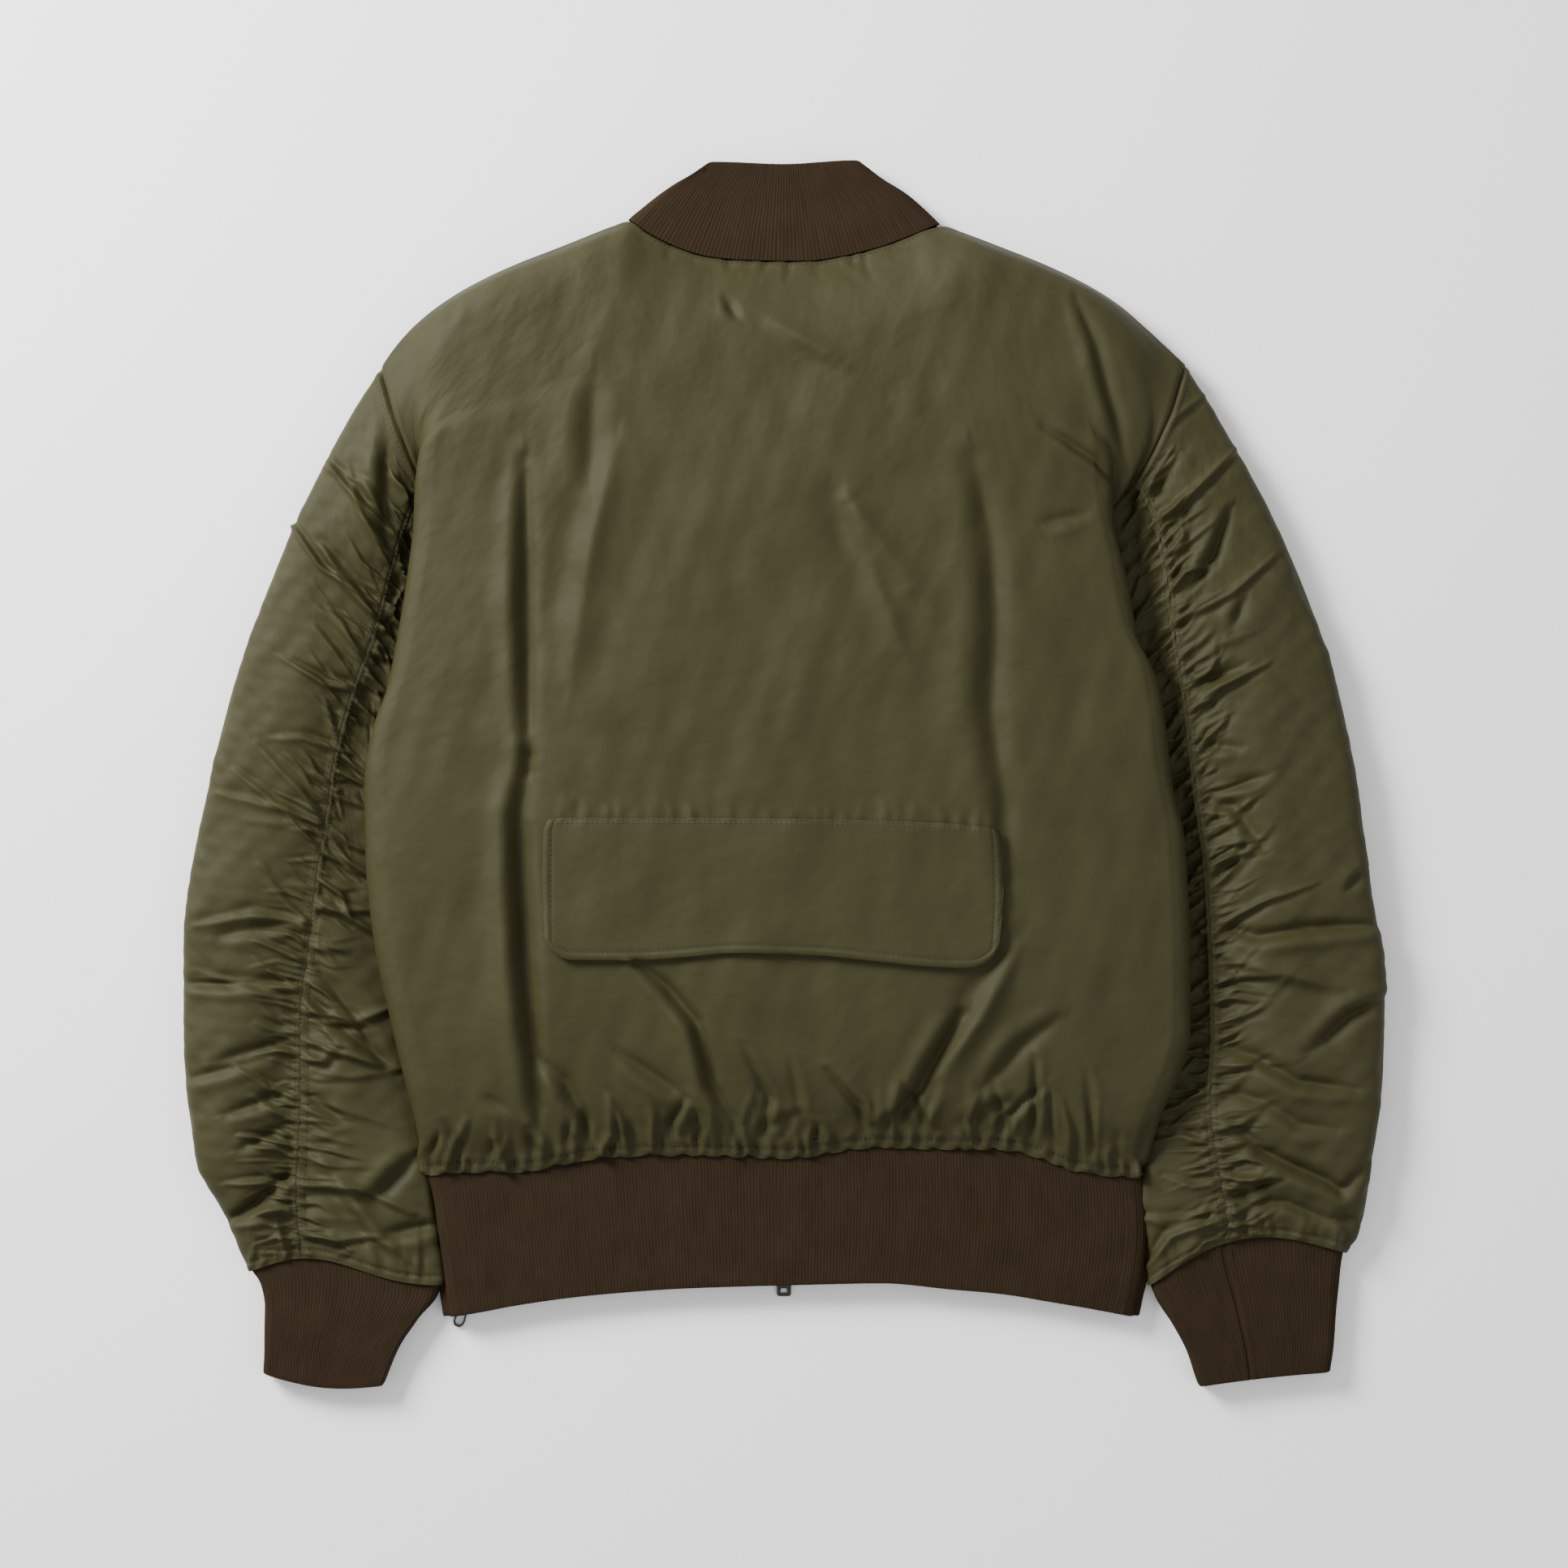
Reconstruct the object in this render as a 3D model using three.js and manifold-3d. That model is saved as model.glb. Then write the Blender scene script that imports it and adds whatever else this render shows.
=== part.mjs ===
// Bomber jacket laid face down on a table, sizes in millimetres.
// X runs to the wearer's right, Y to the collar, Z up. The table is at Z = 0, the middle of the jacket's
// bounding box is at X = 0, Y = 0.
// Every cloth piece is a closed wall: an outer and an inner face, the seams 0.3 mm apart.
import * as THREE from 'three';
import ManifoldModule from 'manifold-3d';

const wasm = await ManifoldModule();
wasm.setup();
const { Manifold, Mesh } = wasm;

// Cloth and seams
const CLOTH = 1.5;            // wall of the shell cloth
const RIB = 3;                // wall of the knit bands
const GAP = 0.3;              // clear distance between two pieces at a seam
const LAP = 0.5;              // clear distance between the shell and the knit it lies over
const INSET = CLOTH + LAP;    // from the shell's outer face to the knit's
const DEEPER = 0.8;           // extra depth of the knit's hidden end
const NOTCH = 7;              // half size of the notch in the sleeve's corner at the armpit
const FRONT_NOTCH = 4;        // the same in the front panel's corner
const NECK_NOTCH = 3;         // the same in the collar's foot at its side folds

// Body
const SHOULDER_Z = 10;        // height of the fold at the shoulder point
const NECK_Z = 7.5;           // height of the fold at the side of the neck
const NECK_OUT = 102;         // half width of the neck seam
const NECK_ARC = 0.3;         // part of the neck's half that goes round the fold
const NECK_R = 7.5;           // roundness of the collar's side folds
const PIT = 0.187;            // part of the body's length above the armpit
const HEM_CORNER_Y = -262;    // lower end of the shell at the sides
const FRONT_EDGE = 9;         // half distance between the front panels
const SHOULDER_RISE = 34;     // length over which the back climbs from the shoulder fold
const NECK_RISE = 62;         // the same behind the neck
const FRONT_FALL = 16;        // length over which the front drops from the shoulder fold
const CHORD_SHARE = 0.3;      // how far the back's rows follow the armhole's chord, away from its curve
const FOLD_SHARE = 0.85;      // how far the armhole's wall turns where the body's round side folds over it
const TOP_KNOT = 4;           // section place of the left crown, the right one is at END_KNOT - TOP_KNOT
const END_KNOT = 12;          // section place of the right side seam

// Sleeve section places, counted round the tube from the outer edge
const SEAM_KNOT = 4;          // gathered seam on the back of the sleeve
const INNER_KNOT = 9;         // inner edge
const RING_KNOTS = 17;
const CUFF_LAP = 0.015;       // part of the sleeve's length that lies over the cuff
const CUFF_HEIGHT = 15;
const CUFF_SKEW = 5;          // how far the left sleeve's end waves up and down

// Hem, collar
const HEM_HEIGHT = 16;
const HEM_LAP = 0.016;        // part of the body's length that lies over the hem band
const COLLAR_TOP_OUT = 57;    // half width of the collar's upper edge
const COLLAR_TOP_HEIGHT = 13;
const COLLAR_SPLIT = 1.2;     // half distance between the collar's front ends

// Gathers
const SEAM_WAVES = 34;        // along each sleeve seam
const SEAM_WAVE_HEIGHT = 1.7;
const HEM_WAVES = 26;
const HEM_WAVE_HEIGHT = 1.7;
const HEM_SCALLOP = 2.2;      // in-and-out of the gathered edge
const CUFF_WAVE_HEIGHT = 1.3;

// Zips: two tapes side by side, a slider of two plates and a web between them, a half ring under it that
// holds the pull tab
const TAPE = 1.2;             // thickness of the zip tape with its chain
const TAPE_SPLIT = 1.1;       // half distance between the two tapes
const TAPE_LIFT = 5.2;        // tape's height above the table where the slider hangs
const TAPE_LOW = 0.15;        // the same along the front panels
const SLIDER_BASE = 3.5;      // lowest face of the slider
const SLIDER_PLATE = 1.3;
const SLIDER_CLEAR = 0.35;    // from the tapes to the slider
const PLATE_CORNER = 0.5;
const PIVOT_Z = 2.3;
const BAIL_HOLE = 1;
const BAIL_R = 2;
const BAIL_WIDE = 2.4;
const PULL_THICK = 1.4;
const BAR_R = 0.6;
const PULL_TILT = 4.3;        // degrees, brings the free end down to the table
const ARM = 1.8;              // half width of the opening round the half ring
const FRONT_ZIP = { top: 291, bottom: -333, rise: -262, lifted: -303, edgeTop: 8.4, edgeLow: 8.1, slider: 4.6, long: 11, y: -325, pivot: -324 };
const SIDE_ZIP = { edge: 4.2, slider: 3.5, long: 9.5, pivotDown: 2.2, ring: 0.25, front: 1 };
const SIDE_PULL_TURN = -22;   // degrees from straight down

const OLIVE = { color: 0x4b4730, roughness: 0.55, metalness: 0 };
const OLIVE_INSIDE = { color: 0x46432d, roughness: 0.6, metalness: 0 };
const KNIT = { color: 0x36281e, roughness: 0.95, metalness: 0 };
const TAPE_CLOTH = { color: 0x2c2a20, roughness: 0.8, metalness: 0 };
const METAL = { color: 0x4a4846, roughness: 0.35, metalness: 0.9 };

const v3 = (x, y, z) => new THREE.Vector3(x, y, z);
const mix = (a, b, t) => a + (b - a) * t;
const clamp = (t) => Math.min(1, Math.max(0, t));
const ease = (t) => clamp(t) * clamp(t) * (3 - 2 * clamp(t));
const bump = (t) => Math.exp(-t * t);

// Turns rows of numbers into rows with named columns.
function table(names, rows) {
  const columns = names.split(' ');
  return rows.map((row) => Object.fromEntries(columns.map((name, i) => [name, row[i]])));
}

// Reads a column smoothly between the rows of a table, never beyond the two rows beside the place.
function read(rows, column, at) {
  const last = rows.length - 1;
  if (at <= rows[0].at) return rows[0][column];
  if (at >= rows[last].at) return rows[last][column];
  let i = 0;
  while (rows[i + 1].at < at) i += 1;
  const slope = (k) => (rows[k + 1][column] - rows[k][column]) / (rows[k + 1].at - rows[k].at);
  const tangent = (k) => {
    if (k === 0) return slope(0);
    if (k === last) return slope(last - 1);
    const before = slope(k - 1);
    const after = slope(k);
    return before * after <= 0 ? 0 : (2 * before * after) / (before + after);
  };
  const span = rows[i + 1].at - rows[i].at;
  const t = (at - rows[i].at) / span;
  const u = 1 - t;
  return rows[i][column] * u * u * (1 + 2 * t) + rows[i + 1][column] * t * t * (3 - 2 * t)
    + span * t * u * (tangent(i) * u - tangent(i + 1) * t);
}

// Largest folds: a line over three points on the plan, its half width and its height (a trough is below 0).
const BODY_FOLDS = table('x0 y0 x1 y1 x2 y2 half depth', [
  [-167, 204, -165, 80, -168, -10, 11, -5],
  [-170, -20, -169, -90, -158, -228, 12, -7],
  [-123, 255, -125, 222, -126, 188, 15, -3],
  [-109, 208, -123, 153, -138, 62, 15, 3],
  [124, 204, 135, 128, 134, 40, 15, -4],
  [42, 177, 81, 123, 76, 81, 16, 3],
  [190, 300, 207, 249, 214, 200, 9, -3],
  [168, 224, 202, 202, 214, 190, 10, -4],
  [-95, -122, -57, -161, -31, -230, 11, -5],
  [116, -157, 90, -204, 66, -234, 12, -6],
  [152, -112, 126, -159, 92, -205, 12, 4],
  [177, -159, 154, -185, 130, -204, 10, -3],
  [-158, -185, -142, -200, -121, -235, 10, -3],
]);
const SLEEVE_FOLDS = table('x0 y0 x1 y1 x2 y2 half depth', [
  [-252, 235, -258, 203, -260, 150, 9, -4],
  [-367, -105, -345, -98, -322, -96, 9, -3],
  [-388, -137, -350, -137, -322, -135, 9, -3.5],
  [-370, -187, -345, -178, -323, -172, 9, -3],
  [-354, -243, -338, -233, -322, -228, 9, -3],
  [-363, -292, -346, -282, -321, -258, 9, -5],
  [-309, -144, -287, -167, -262, -189, 10, -4],
  [-305, -245, -287, -268, -250, -312, 10, 3],
  [-240, -250, -265, -274, -277, -277, 10, -4],
  [243, 237, 241, 204, 243, 184, 9, -3.5],
  [290, 172, 280, 143, 264, 117, 9, -4],
  [268, 68, 280, 60, 297, 70, 9, -3],
  [276, -18, 296, -30, 314, -51, 9, -3],
  [281, -98, 334, -101, 385, -98, 10, -4],
  [285, -116, 331, -131, 359, -139, 9, 3],
  [388, -147, 368, -158, 342, -181, 10, -4],
  [287, -177, 334, -200, 372, -205, 10, -4],
  [296, -230, 330, -255, 374, -261, 10, -5],
  [300, -280, 327, -280, 376, -290, 9, -3],
]);

function toLine(x, y, x0, y0, x1, y1) {
  const dx = x1 - x0;
  const dy = y1 - y0;
  const t = clamp(((x - x0) * dx + (y - y0) * dy) / (dx * dx + dy * dy));
  return Math.hypot(x - x0 - dx * t, y - y0 - dy * t);
}

function foldHeight(folds, x, y) {
  let sum = 0;
  for (const f of folds) {
    const away = Math.min(toLine(x, y, f.x0, f.y0, f.x1, f.y1), toLine(x, y, f.x1, f.y1, f.x2, f.y2));
    sum += f.depth * bump(away / f.half);
  }
  return sum;
}

// Smooth curve through points on a section plane, read by its place between them.
function alongCurve(points, place, closed) {
  const curve = new THREE.CatmullRomCurve3(points.map(([d, z]) => v3(d, 0, z)), closed, 'centripetal');
  const spans = closed ? points.length : points.length - 1;
  const t = closed ? (((place / spans) % 1) + 1) % 1 : clamp(place / spans);
  const p = curve.getPoint(t);
  return [p.x, p.z];
}

// Sleeves, a row per section from the armhole to the cuff. ox oy is the outer edge's distance from the
// middle and its place up the jacket, ix iy the inner edge's, seam the gathered seam's part of the width,
// oz and or the outer edge's height and roundness, iz and ir the inner edge's, then heights of the crown,
// of the seam's valley and of the cloth beside it, and how far the row bows.
const SLEEVES = {
  left: table('at ox oy ix iy seam oz or crown valley inner iz ir bow', [
    [0, 263.9, 264.4, 223.1, 166.2, 0.75, 10, 10, 27, 17, 12.5, 9, 2.4, -3.5],
    [0.02, 270, 255.5, 229, 158, 0.745, 10.4, 10.4, 26.5, 15.5, 9.7, 5, 4, -2.5],
    [0.05, 279.5, 241, 234, 145, 0.735, 11, 11, 27, 16.5, 11, 6, 4.8, -1],
    [0.1, 295.5, 212.5, 238, 120, 0.72, 12, 12, 28, 18.5, 12, 6, 5, 0],
    [0.2, 321.7, 158.5, 243, 68, 0.696, 12.5, 12.5, 27.5, 20.5, 14, 6, 5.5, 0],
    [0.3, 344.5, 102, 253.5, 18, 0.666, 12.5, 12.5, 27, 20, 15, 6, 5.5, 0],
    [0.4, 362, 50, 264, -32, 0.677, 12.5, 12.5, 27, 19.5, 15, 6, 5.5, 0],
    [0.5, 376, -8, 261.3, -82, 0.637, 12.5, 12.5, 27, 20, 17, 6, 5.5, 0],
    [0.6, 388, -68, 255.5, -132, 0.596, 12.5, 12.5, 27, 20, 19, 6, 5.5, 0],
    [0.7, 392.7, -129, 243.3, -182, 0.519, 12.5, 12.5, 27, 20, 20, 6, 5.5, 0],
    [0.8, 391.8, -190, 243.5, -225, 0.499, 12.5, 12.5, 26, 20, 20, 6.4, 6, 0],
    [0.9, 384, -250, 236, -272, 0.43, 12, 12, 25, 20, 20, 8, 7.5, 2],
    [0.96, 363.5, -294, 229, -306, 0.33, 10.5, 10.5, 22, 19.5, 19.5, 8.5, 8.3, 6],
    [1, 350.3, -325.7, 226.5, -336, 0.275, 8.5, 8.5, 17, 17, 17, 8.5, 8.5, 9],
  ]),
  right: table('at ox oy ix iy seam oz or crown valley inner iz ir bow', [
    [0, 262, 267.5, 207, 165, 0.72, 10, 10, 27, 18, 12.5, 9, 2.4, -8],
    [0.02, 269, 257, 212, 157, 0.69, 10.4, 10.4, 26.5, 18, 10, 5, 4, -6],
    [0.05, 279, 241, 215, 144, 0.66, 11, 11, 27, 19, 11.5, 6, 4.8, -3],
    [0.1, 294.7, 213.9, 216, 120, 0.632, 12, 12, 28, 20, 12.5, 6, 5, 0],
    [0.2, 322.8, 160.9, 223, 68, 0.69, 12.5, 12.5, 27.5, 20.5, 14, 6, 5.5, 0],
    [0.3, 346.5, 104, 237.5, 20, 0.765, 12.5, 12.5, 27.5, 18.5, 14, 6, 5.5, 0],
    [0.4, 364, 48, 244.5, -30, 0.795, 12.5, 12.5, 27, 17.5, 13.5, 6, 5.5, 0],
    [0.5, 375.5, -13, 253, -80, 0.81, 12.5, 12.5, 27, 16.5, 13, 6, 5.5, 0],
    [0.6, 383, -73, 255, -130, 0.815, 12.5, 12.5, 27, 16.5, 13, 6, 5.5, 0],
    [0.7, 393, -133, 254, -180, 0.81, 12.5, 12.5, 27, 17, 13.5, 6, 5.5, 0],
    [0.8, 391.8, -194, 247.5, -225, 0.758, 12.5, 12.5, 26, 18, 15, 6.4, 6, 0],
    [0.9, 384.5, -252, 240.5, -275, 0.655, 12, 12, 25, 19.5, 19, 8, 7.5, 6],
    [0.96, 379, -290, 240, -314, 0.62, 10.5, 10.5, 22, 19.5, 19.5, 8.5, 8.3, 15],
    [1, 368.4, -313.5, 240.5, -336, 0.6, 8.5, 8.5, 17, 17, 17, 8.5, 8.5, 21],
  ]),
};
const SIDE = { left: -1, right: 1 };

// One point of a sleeve's tube before folds and gathers.
function sleeveBase(side, at, knot) {
  const get = (column) => read(SLEEVES[side], column, at);
  const sign = SIDE[side];
  const outer = v3(sign * get('ox'), get('oy'), 0);
  const inner = v3(sign * get('ix'), get('iy'), 0);
  const width = outer.distanceTo(inner);
  const along = inner.clone().sub(outer).divideScalar(width);
  const [oz, or, iz, ir] = [get('oz'), get('or'), get('iz'), get('ir')];
  const seam = get('seam') * width;
  const rest = width - 14 - seam;
  const bend = Math.SQRT1_2;
  const low = Math.max(0, iz - ir);
  const points = [
    [0, oz],
    [or * (1 - bend), oz + or * bend],
    [or, oz + or],
    [mix(or, seam, 0.5), get('crown')],
    [seam, get('valley')],
    [seam + rest * 0.5, get('inner')],
    [width - 14, mix(iz + ir, get('inner'), 0.3)],
    [width - ir, iz + ir],
    [width - ir * (1 - bend), iz + ir * bend],
    [width, iz],
    [width - ir * (1 - bend), iz - ir * bend],
    [width - ir, low],
    [width - ir - 18, 0],
    [width * 0.5, 0],
    [or + 12, 0],
    [or, oz - or],
    [or * (1 - bend), oz - or * bend],
  ];
  const [d, z] = alongCurve(points, knot, true);
  const part = clamp(d / width);
  const below = knot % RING_KNOTS > INNER_KNOT || knot < 0;
  const bow = get('bow') * Math.sin(Math.PI * part) * (below && at < 0.5 ? 0 : 1);
  const skew = side === 'right' ? 0 : CUFF_SKEW * ease((at - 0.85) / 0.15) * Math.sin(2 * Math.PI * part);
  const across = v3(-along.y, along.x, 0).multiplyScalar(sign * -(bow + skew));
  return outer.addScaledVector(along, d).add(across).setZ(Math.max(0, z));
}

const STEP = 0.002;
function crossNormal(base, a, b, reach) {
  const a0 = Math.max(reach[0], a - STEP);
  const a1 = Math.min(reach[1], a + STEP);
  const alongA = base(a1, b).sub(base(a0, b));
  const alongB = base(a, b + STEP * 4).sub(base(a, b - STEP * 4));
  return alongA.cross(alongB).normalize();
}

// Outward direction of the sleeve's tube, turning to the armpit's own at the armhole.
function sleeveNormal(side, at, knot) {
  const n = crossNormal((a, k) => sleeveBase(side, a, k), at, knot, [0, 1]);
  if (side === 'right') n.negate();
  const ring = armholeNormal(side, knot);
  return n.lerp(ring, 1 - ease(at / 0.035)).normalize();
}

// Direction of the wall at the armpit.
const PIT_NORMAL = v3(0, -1, 0);

// Direction of the wall at the armhole, the same for the body and the sleeve: it leans out where the body's
// round side stands over the sleeve.
function armholeNormal(side, knot) {
  const before = sleeveBase(side, 0, knot - 0.02);
  const after = sleeveBase(side, 0, knot + 0.02);
  const t = after.sub(before);
  const chord = sleeveBase(side, 0, INNER_KNOT).sub(sleeveBase(side, 0, 0)).setZ(0).normalize();
  const n = chord.clone().multiplyScalar(-t.z).add(v3(0, 0, t.dot(chord))).normalize();
  const lean = ease((knot - 2) / 1.2) * ease((INNER_KNOT - knot) / 1.2);
  const folded = knot < INNER_KNOT ? FOLD_SHARE * ease((knot - SEAM_KNOT) / 2) : 0;
  n.multiplyScalar(1 - folded).addScaledVector(v3(-SIDE[side] * chord.y, -Math.abs(chord.x), 0), lean).normalize();
  const pit = bump((knot - INNER_KNOT) / 1.1);
  return n.multiplyScalar(1 - pit).addScaledVector(PIT_NORMAL, pit).normalize();
}

// Places round the armhole that the body and the sleeve share. Both run straight between them.
const ARMHOLE_KNOTS = [0, 1, 1.8, 2.6, 3.5, 4, 4.7, 6, 7.4, 9, 10, 11, 13, 15, 16, 17];

function armhole(side, knot) {
  const k = ((knot % RING_KNOTS) + RING_KNOTS) % RING_KNOTS;
  const i = Math.max(1, ARMHOLE_KNOTS.findIndex((place) => place >= k));
  const [a, b] = [ARMHOLE_KNOTS[i - 1], ARMHOLE_KNOTS[i]];
  const t = (k - a) / (b - a);
  const p = sleeveBase(side, 0, a).lerp(sleeveBase(side, 0, b), t);
  return { p, n: armholeNormal(side, a).lerp(armholeNormal(side, b), t).normalize() };
}

const HASH = (i, salt) => {
  const s = Math.sin(i * 12.9898 + salt * 78.233) * 43758.5453;
  return s - Math.floor(s);
};

// Height of the gathers beside the sleeve's back seam: wave number i has its own height.
function seamWave(at, salt) {
  const place = at * SEAM_WAVES;
  const wave = Math.floor(place);
  const edge = ease(at / 0.06) * ease((1 - at) / 0.04);
  return (0.5 - 0.5 * Math.cos(2 * Math.PI * place)) * SEAM_WAVE_HEIGHT * mix(0.6, 1.15, HASH(wave, salt)) * edge;
}

// A point of a sleeve panel: outer and inner face. extra lifts the cloth, in millimetres.
function sleevePoint(side, at, knot, extra, sink = 0) {
  const base = sleeveBase(side, at, knot);
  const n = sleeveNormal(side, at, knot);
  const k = ((knot % RING_KNOTS) + RING_KNOTS) % RING_KNOTS;
  const top = ease((k - 0.6) / 0.8) * ease((7.6 - k) / 0.8);
  const quiet = ease(at / 0.05) * ease((1 - at) / 0.05) * (0.35 + 0.65 * ease(Math.abs(k - SEAM_KNOT) / 0.5));
  const lift = extra + (top > 0 ? foldHeight(SLEEVE_FOLDS, base.x, base.y) * top * quiet : 0) - sink;
  return { outer: base.clone().addScaledVector(n, lift), n };
}

function spread(from, to, count) {
  return Array.from({ length: count }, (_, i) => mix(from, to, i / (count - 1)));
}

// Lines along the sleeve. knots is the place round the tube, count the points along it, wave the part of the
// gathers' height that the line carries, hem the part of the cuff's gathers.
const SLEEVE_LINES = {
  outer: table('knot count wave cuff', [
    [4, 40, 0, 0], [3.83, 103, 1, 0.5], [3.5, 46, 0.35, 1], [3.05, 38, 0, 0], [2.6, 38, 0, 1], [2.2, 36, 0, 0],
    [1.8, 32, 0, 1], [1, 26, 0, 0.4], [0, 22, 0, 0], [-1, 18, 0, 0], [-2, 14, 0, 0], [-4, 14, 0, 0],
  ]),
  under: table('knot count wave cuff', [
    [4, 40, 0, 0], [4.25, 103, 1, 0.5], [4.7, 46, 0.35, 1], [5.3, 38, 0, 0], [6, 34, 0, 1], [6.7, 28, 0, 0.2],
    [7.4, 24, 0, 0], [8.2, 22, 0, 0], [9, 22, 0, 0], [10, 20, 0, 0], [11, 18, 0, 0], [13, 14, 0, 0],
  ]),
};

function sleevePanel(side, panel) {
  const rows = SLEEVE_LINES[panel];
  const salt = side === 'left' ? 1 : 2;
  return rows.map((row, i) => {
    const edge = i === 0 || i === rows.length - 1;
    const places = [...spread(0, 1 - CUFF_LAP, row.count - 1), 1];
    return places.map((at) => {
      const cuff = row.cuff * CUFF_WAVE_HEIGHT * ease((at - 0.955) / 0.04);
      const gather = row.wave * seamWave(at, salt + (panel === 'outer' ? 0 : 3));
      const { outer, n } = sleevePoint(side, at, row.knot, gather + cuff);
      if (at === 0) {
        const ring = armhole(side, row.knot);
        outer.copy(ring.p).add(v3(SIDE[side] * GAP, 0, 0));
        n.copy(ring.n);
      }
      if (edge) {
        const inward = sleeveBase(side, at, rows[i === 0 ? 1 : i - 1].knot).sub(sleeveBase(side, at, row.knot)).normalize();
        outer.addScaledVector(inward, GAP / 2);
      }
      return { at, outer, inner: outer.clone().addScaledVector(n, -CLOTH) };
    });
  });
}

// Body sections by their place between shoulder and hem. Distances are from the middle line. The upper
// rows end at the armhole, the lower ones at the side seam under the round side.
const BODY_HIGH = {
  left: table('at rimX rimZ edgeX edgeZ browX browZ crownX crownZ', [
    [0, 246, 24, 226, 28, 204, 31, 180, 33],
    [0.035, 243, 27, 227, 33, 209, 35, 187, 36],
    [0.07, 239, 28.5, 228.5, 34, 214, 36, 195, 37],
    [0.123, 237, 25, 233, 31, 223, 35.5, 206, 37.5],
    [0.155, 236.5, 21, 236, 28, 229, 35, 214, 37.5],
  ]),
  right: table('at rimX rimZ edgeX edgeZ browX browZ crownX crownZ', [
    [0, 248, 24, 228, 28, 206, 31, 184, 33],
    [0.035, 243, 27, 228, 33, 212, 35, 192, 36],
    [0.07, 239, 28.5, 226, 34, 213, 36, 196, 37],
    [0.123, 229, 26, 221, 32, 211, 36, 196, 37.5],
    [0.155, 220, 23, 216, 29, 209, 34, 197, 37],
  ]),
};
// The round side below the armpit: distance of its edge from the middle, height of its centre, its radius.
const BODY_LOW = {
  left: table('at edge mid round', [
    [0.187, 238, 26, 12], [0.22, 240.2, 25, 12], [0.269, 242.2, 24, 12], [0.347, 248, 24, 12], [0.445, 258.6, 24, 12],
    [0.499, 269, 24, 12], [0.55, 273, 24, 12], [0.63, 272.4, 24, 12], [0.73, 267.1, 24, 12],
    [0.81, 257.6, 24, 12], [0.88, 248.5, 22.5, 12], [0.94, 240.5, 18, 12], [0.975, 237.6, 12.5, 11],
    [1, 236.4, 9, 9],
  ]),
  right: table('at edge mid round', [
    [0.187, 214, 27, 12], [0.239, 214.7, 24.3, 12], [0.318, 224.2, 24, 12], [0.384, 231.1, 24, 12],
    [0.435, 244, 24, 12], [0.477, 248.3, 24, 12], [0.552, 253.3, 24, 12], [0.611, 260.8, 24, 12],
    [0.751, 264.5, 24, 12], [0.832, 264.5, 24, 12], [0.88, 258, 22.5, 12], [0.94, 243.5, 18, 12],
    [0.975, 238.5, 12.5, 11], [1, 236.4, 9, 9],
  ]),
};
const DOME = table('at height', [
  [0, 35], [0.1, 39], [0.3, 43], [0.55, 44], [0.78, 42], [0.88, 38], [0.94, 32], [0.975, 24], [1, 18],
]);
const SHOULDER = {
  left: table('at y', [
    [102, 362.8], [120, 355.8], [143, 346.4], [176.5, 333.1], [204, 319.9], [225.8, 306.6], [242.2, 293.4],
    [253.9, 280.1], [263.9, 264.4],
  ]),
  right: table('at y', [
    [102, 360], [120, 353.5], [138.3, 346.4], [171.2, 333.1], [198.2, 319.9], [219.4, 306.6], [235.3, 293.4],
    [250.2, 280.1], [262, 267.5],
  ]),
};
const NECK_BACK = table('at y', [
  [-102, 362.8], [-85.3, 351.7], [-66.8, 343.2], [-48.2, 337.9], [-29.7, 336.1], [0, 335.2], [17, 335.4],
  [35.5, 337.9], [63.6, 344.8], [82.2, 351.7], [102, 360],
]);
const NECK_FRONT = table('at y', [
  [0, 293], [20, 294], [45, 301], [68, 314], [85, 330], [94.5, 345], [102, 362],
]);
const HEM_EDGE = table('at y', [
  [-240, -262], [-205, -259], [-170, -259], [-150, -255], [-110, -249], [-60, -248], [0, -250], [61, -243],
  [108, -244], [137, -244], [170, -251], [195, -260], [240, -263],
]);

// Rows of the front panels by their place between shoulder and hem. The side seam runs straight between them.
const FRONT_ROWS = [
  0.012, ...[16, 15, 13, 11, 10].map((knot) => PIT * (RING_KNOTS - knot) / (RING_KNOTS - INNER_KNOT)), PIT,
  0.235, 0.29, 0.35, 0.41, 0.47, 0.53, 0.58, 0.622, 0.676, 0.732, 0.776, 0.84, 0.87, 0.9, 0.93, 0.955, 1 - HEM_LAP, 1,
];

// Side point of the body: the armhole above the armpit, the side seam below. front picks the armhole's
// lower half.
function bodySide(side, at, front) {
  if (at < PIT) {
    const part = at / PIT;
    const knot = front ? RING_KNOTS - (RING_KNOTS - INNER_KNOT) * part : INNER_KNOT * part;
    return armhole(side, knot);
  }
  if (!FRONT_ROWS.includes(at)) {
    const i = FRONT_ROWS.findIndex((row) => row > at);
    const [a, b] = [FRONT_ROWS[i - 1], FRONT_ROWS[i]];
    const [above, under] = [bodySide(side, a), bodySide(side, b)];
    const t = (at - a) / (b - a);
    return { p: above.p.lerp(under.p, t), n: above.n.lerp(under.n, t).normalize() };
  }
  const row = (column) => read(BODY_LOW[side], column, at);
  const pit = sleeveBase(side, 0, INNER_KNOT);
  const down = ease((at - PIT) / 0.05);
  const x = SIDE[side] * (row('edge') - row('round'));
  const y = mix(pit.y, HEM_CORNER_Y, (at - PIT) / (1 - PIT));
  const p = v3(mix(pit.x, x, down), y, mix(pit.z, row('mid') - row('round'), down));
  return { p, n: PIT_NORMAL.clone().lerp(v3(0, 0, -1), down).normalize() };
}

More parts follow.
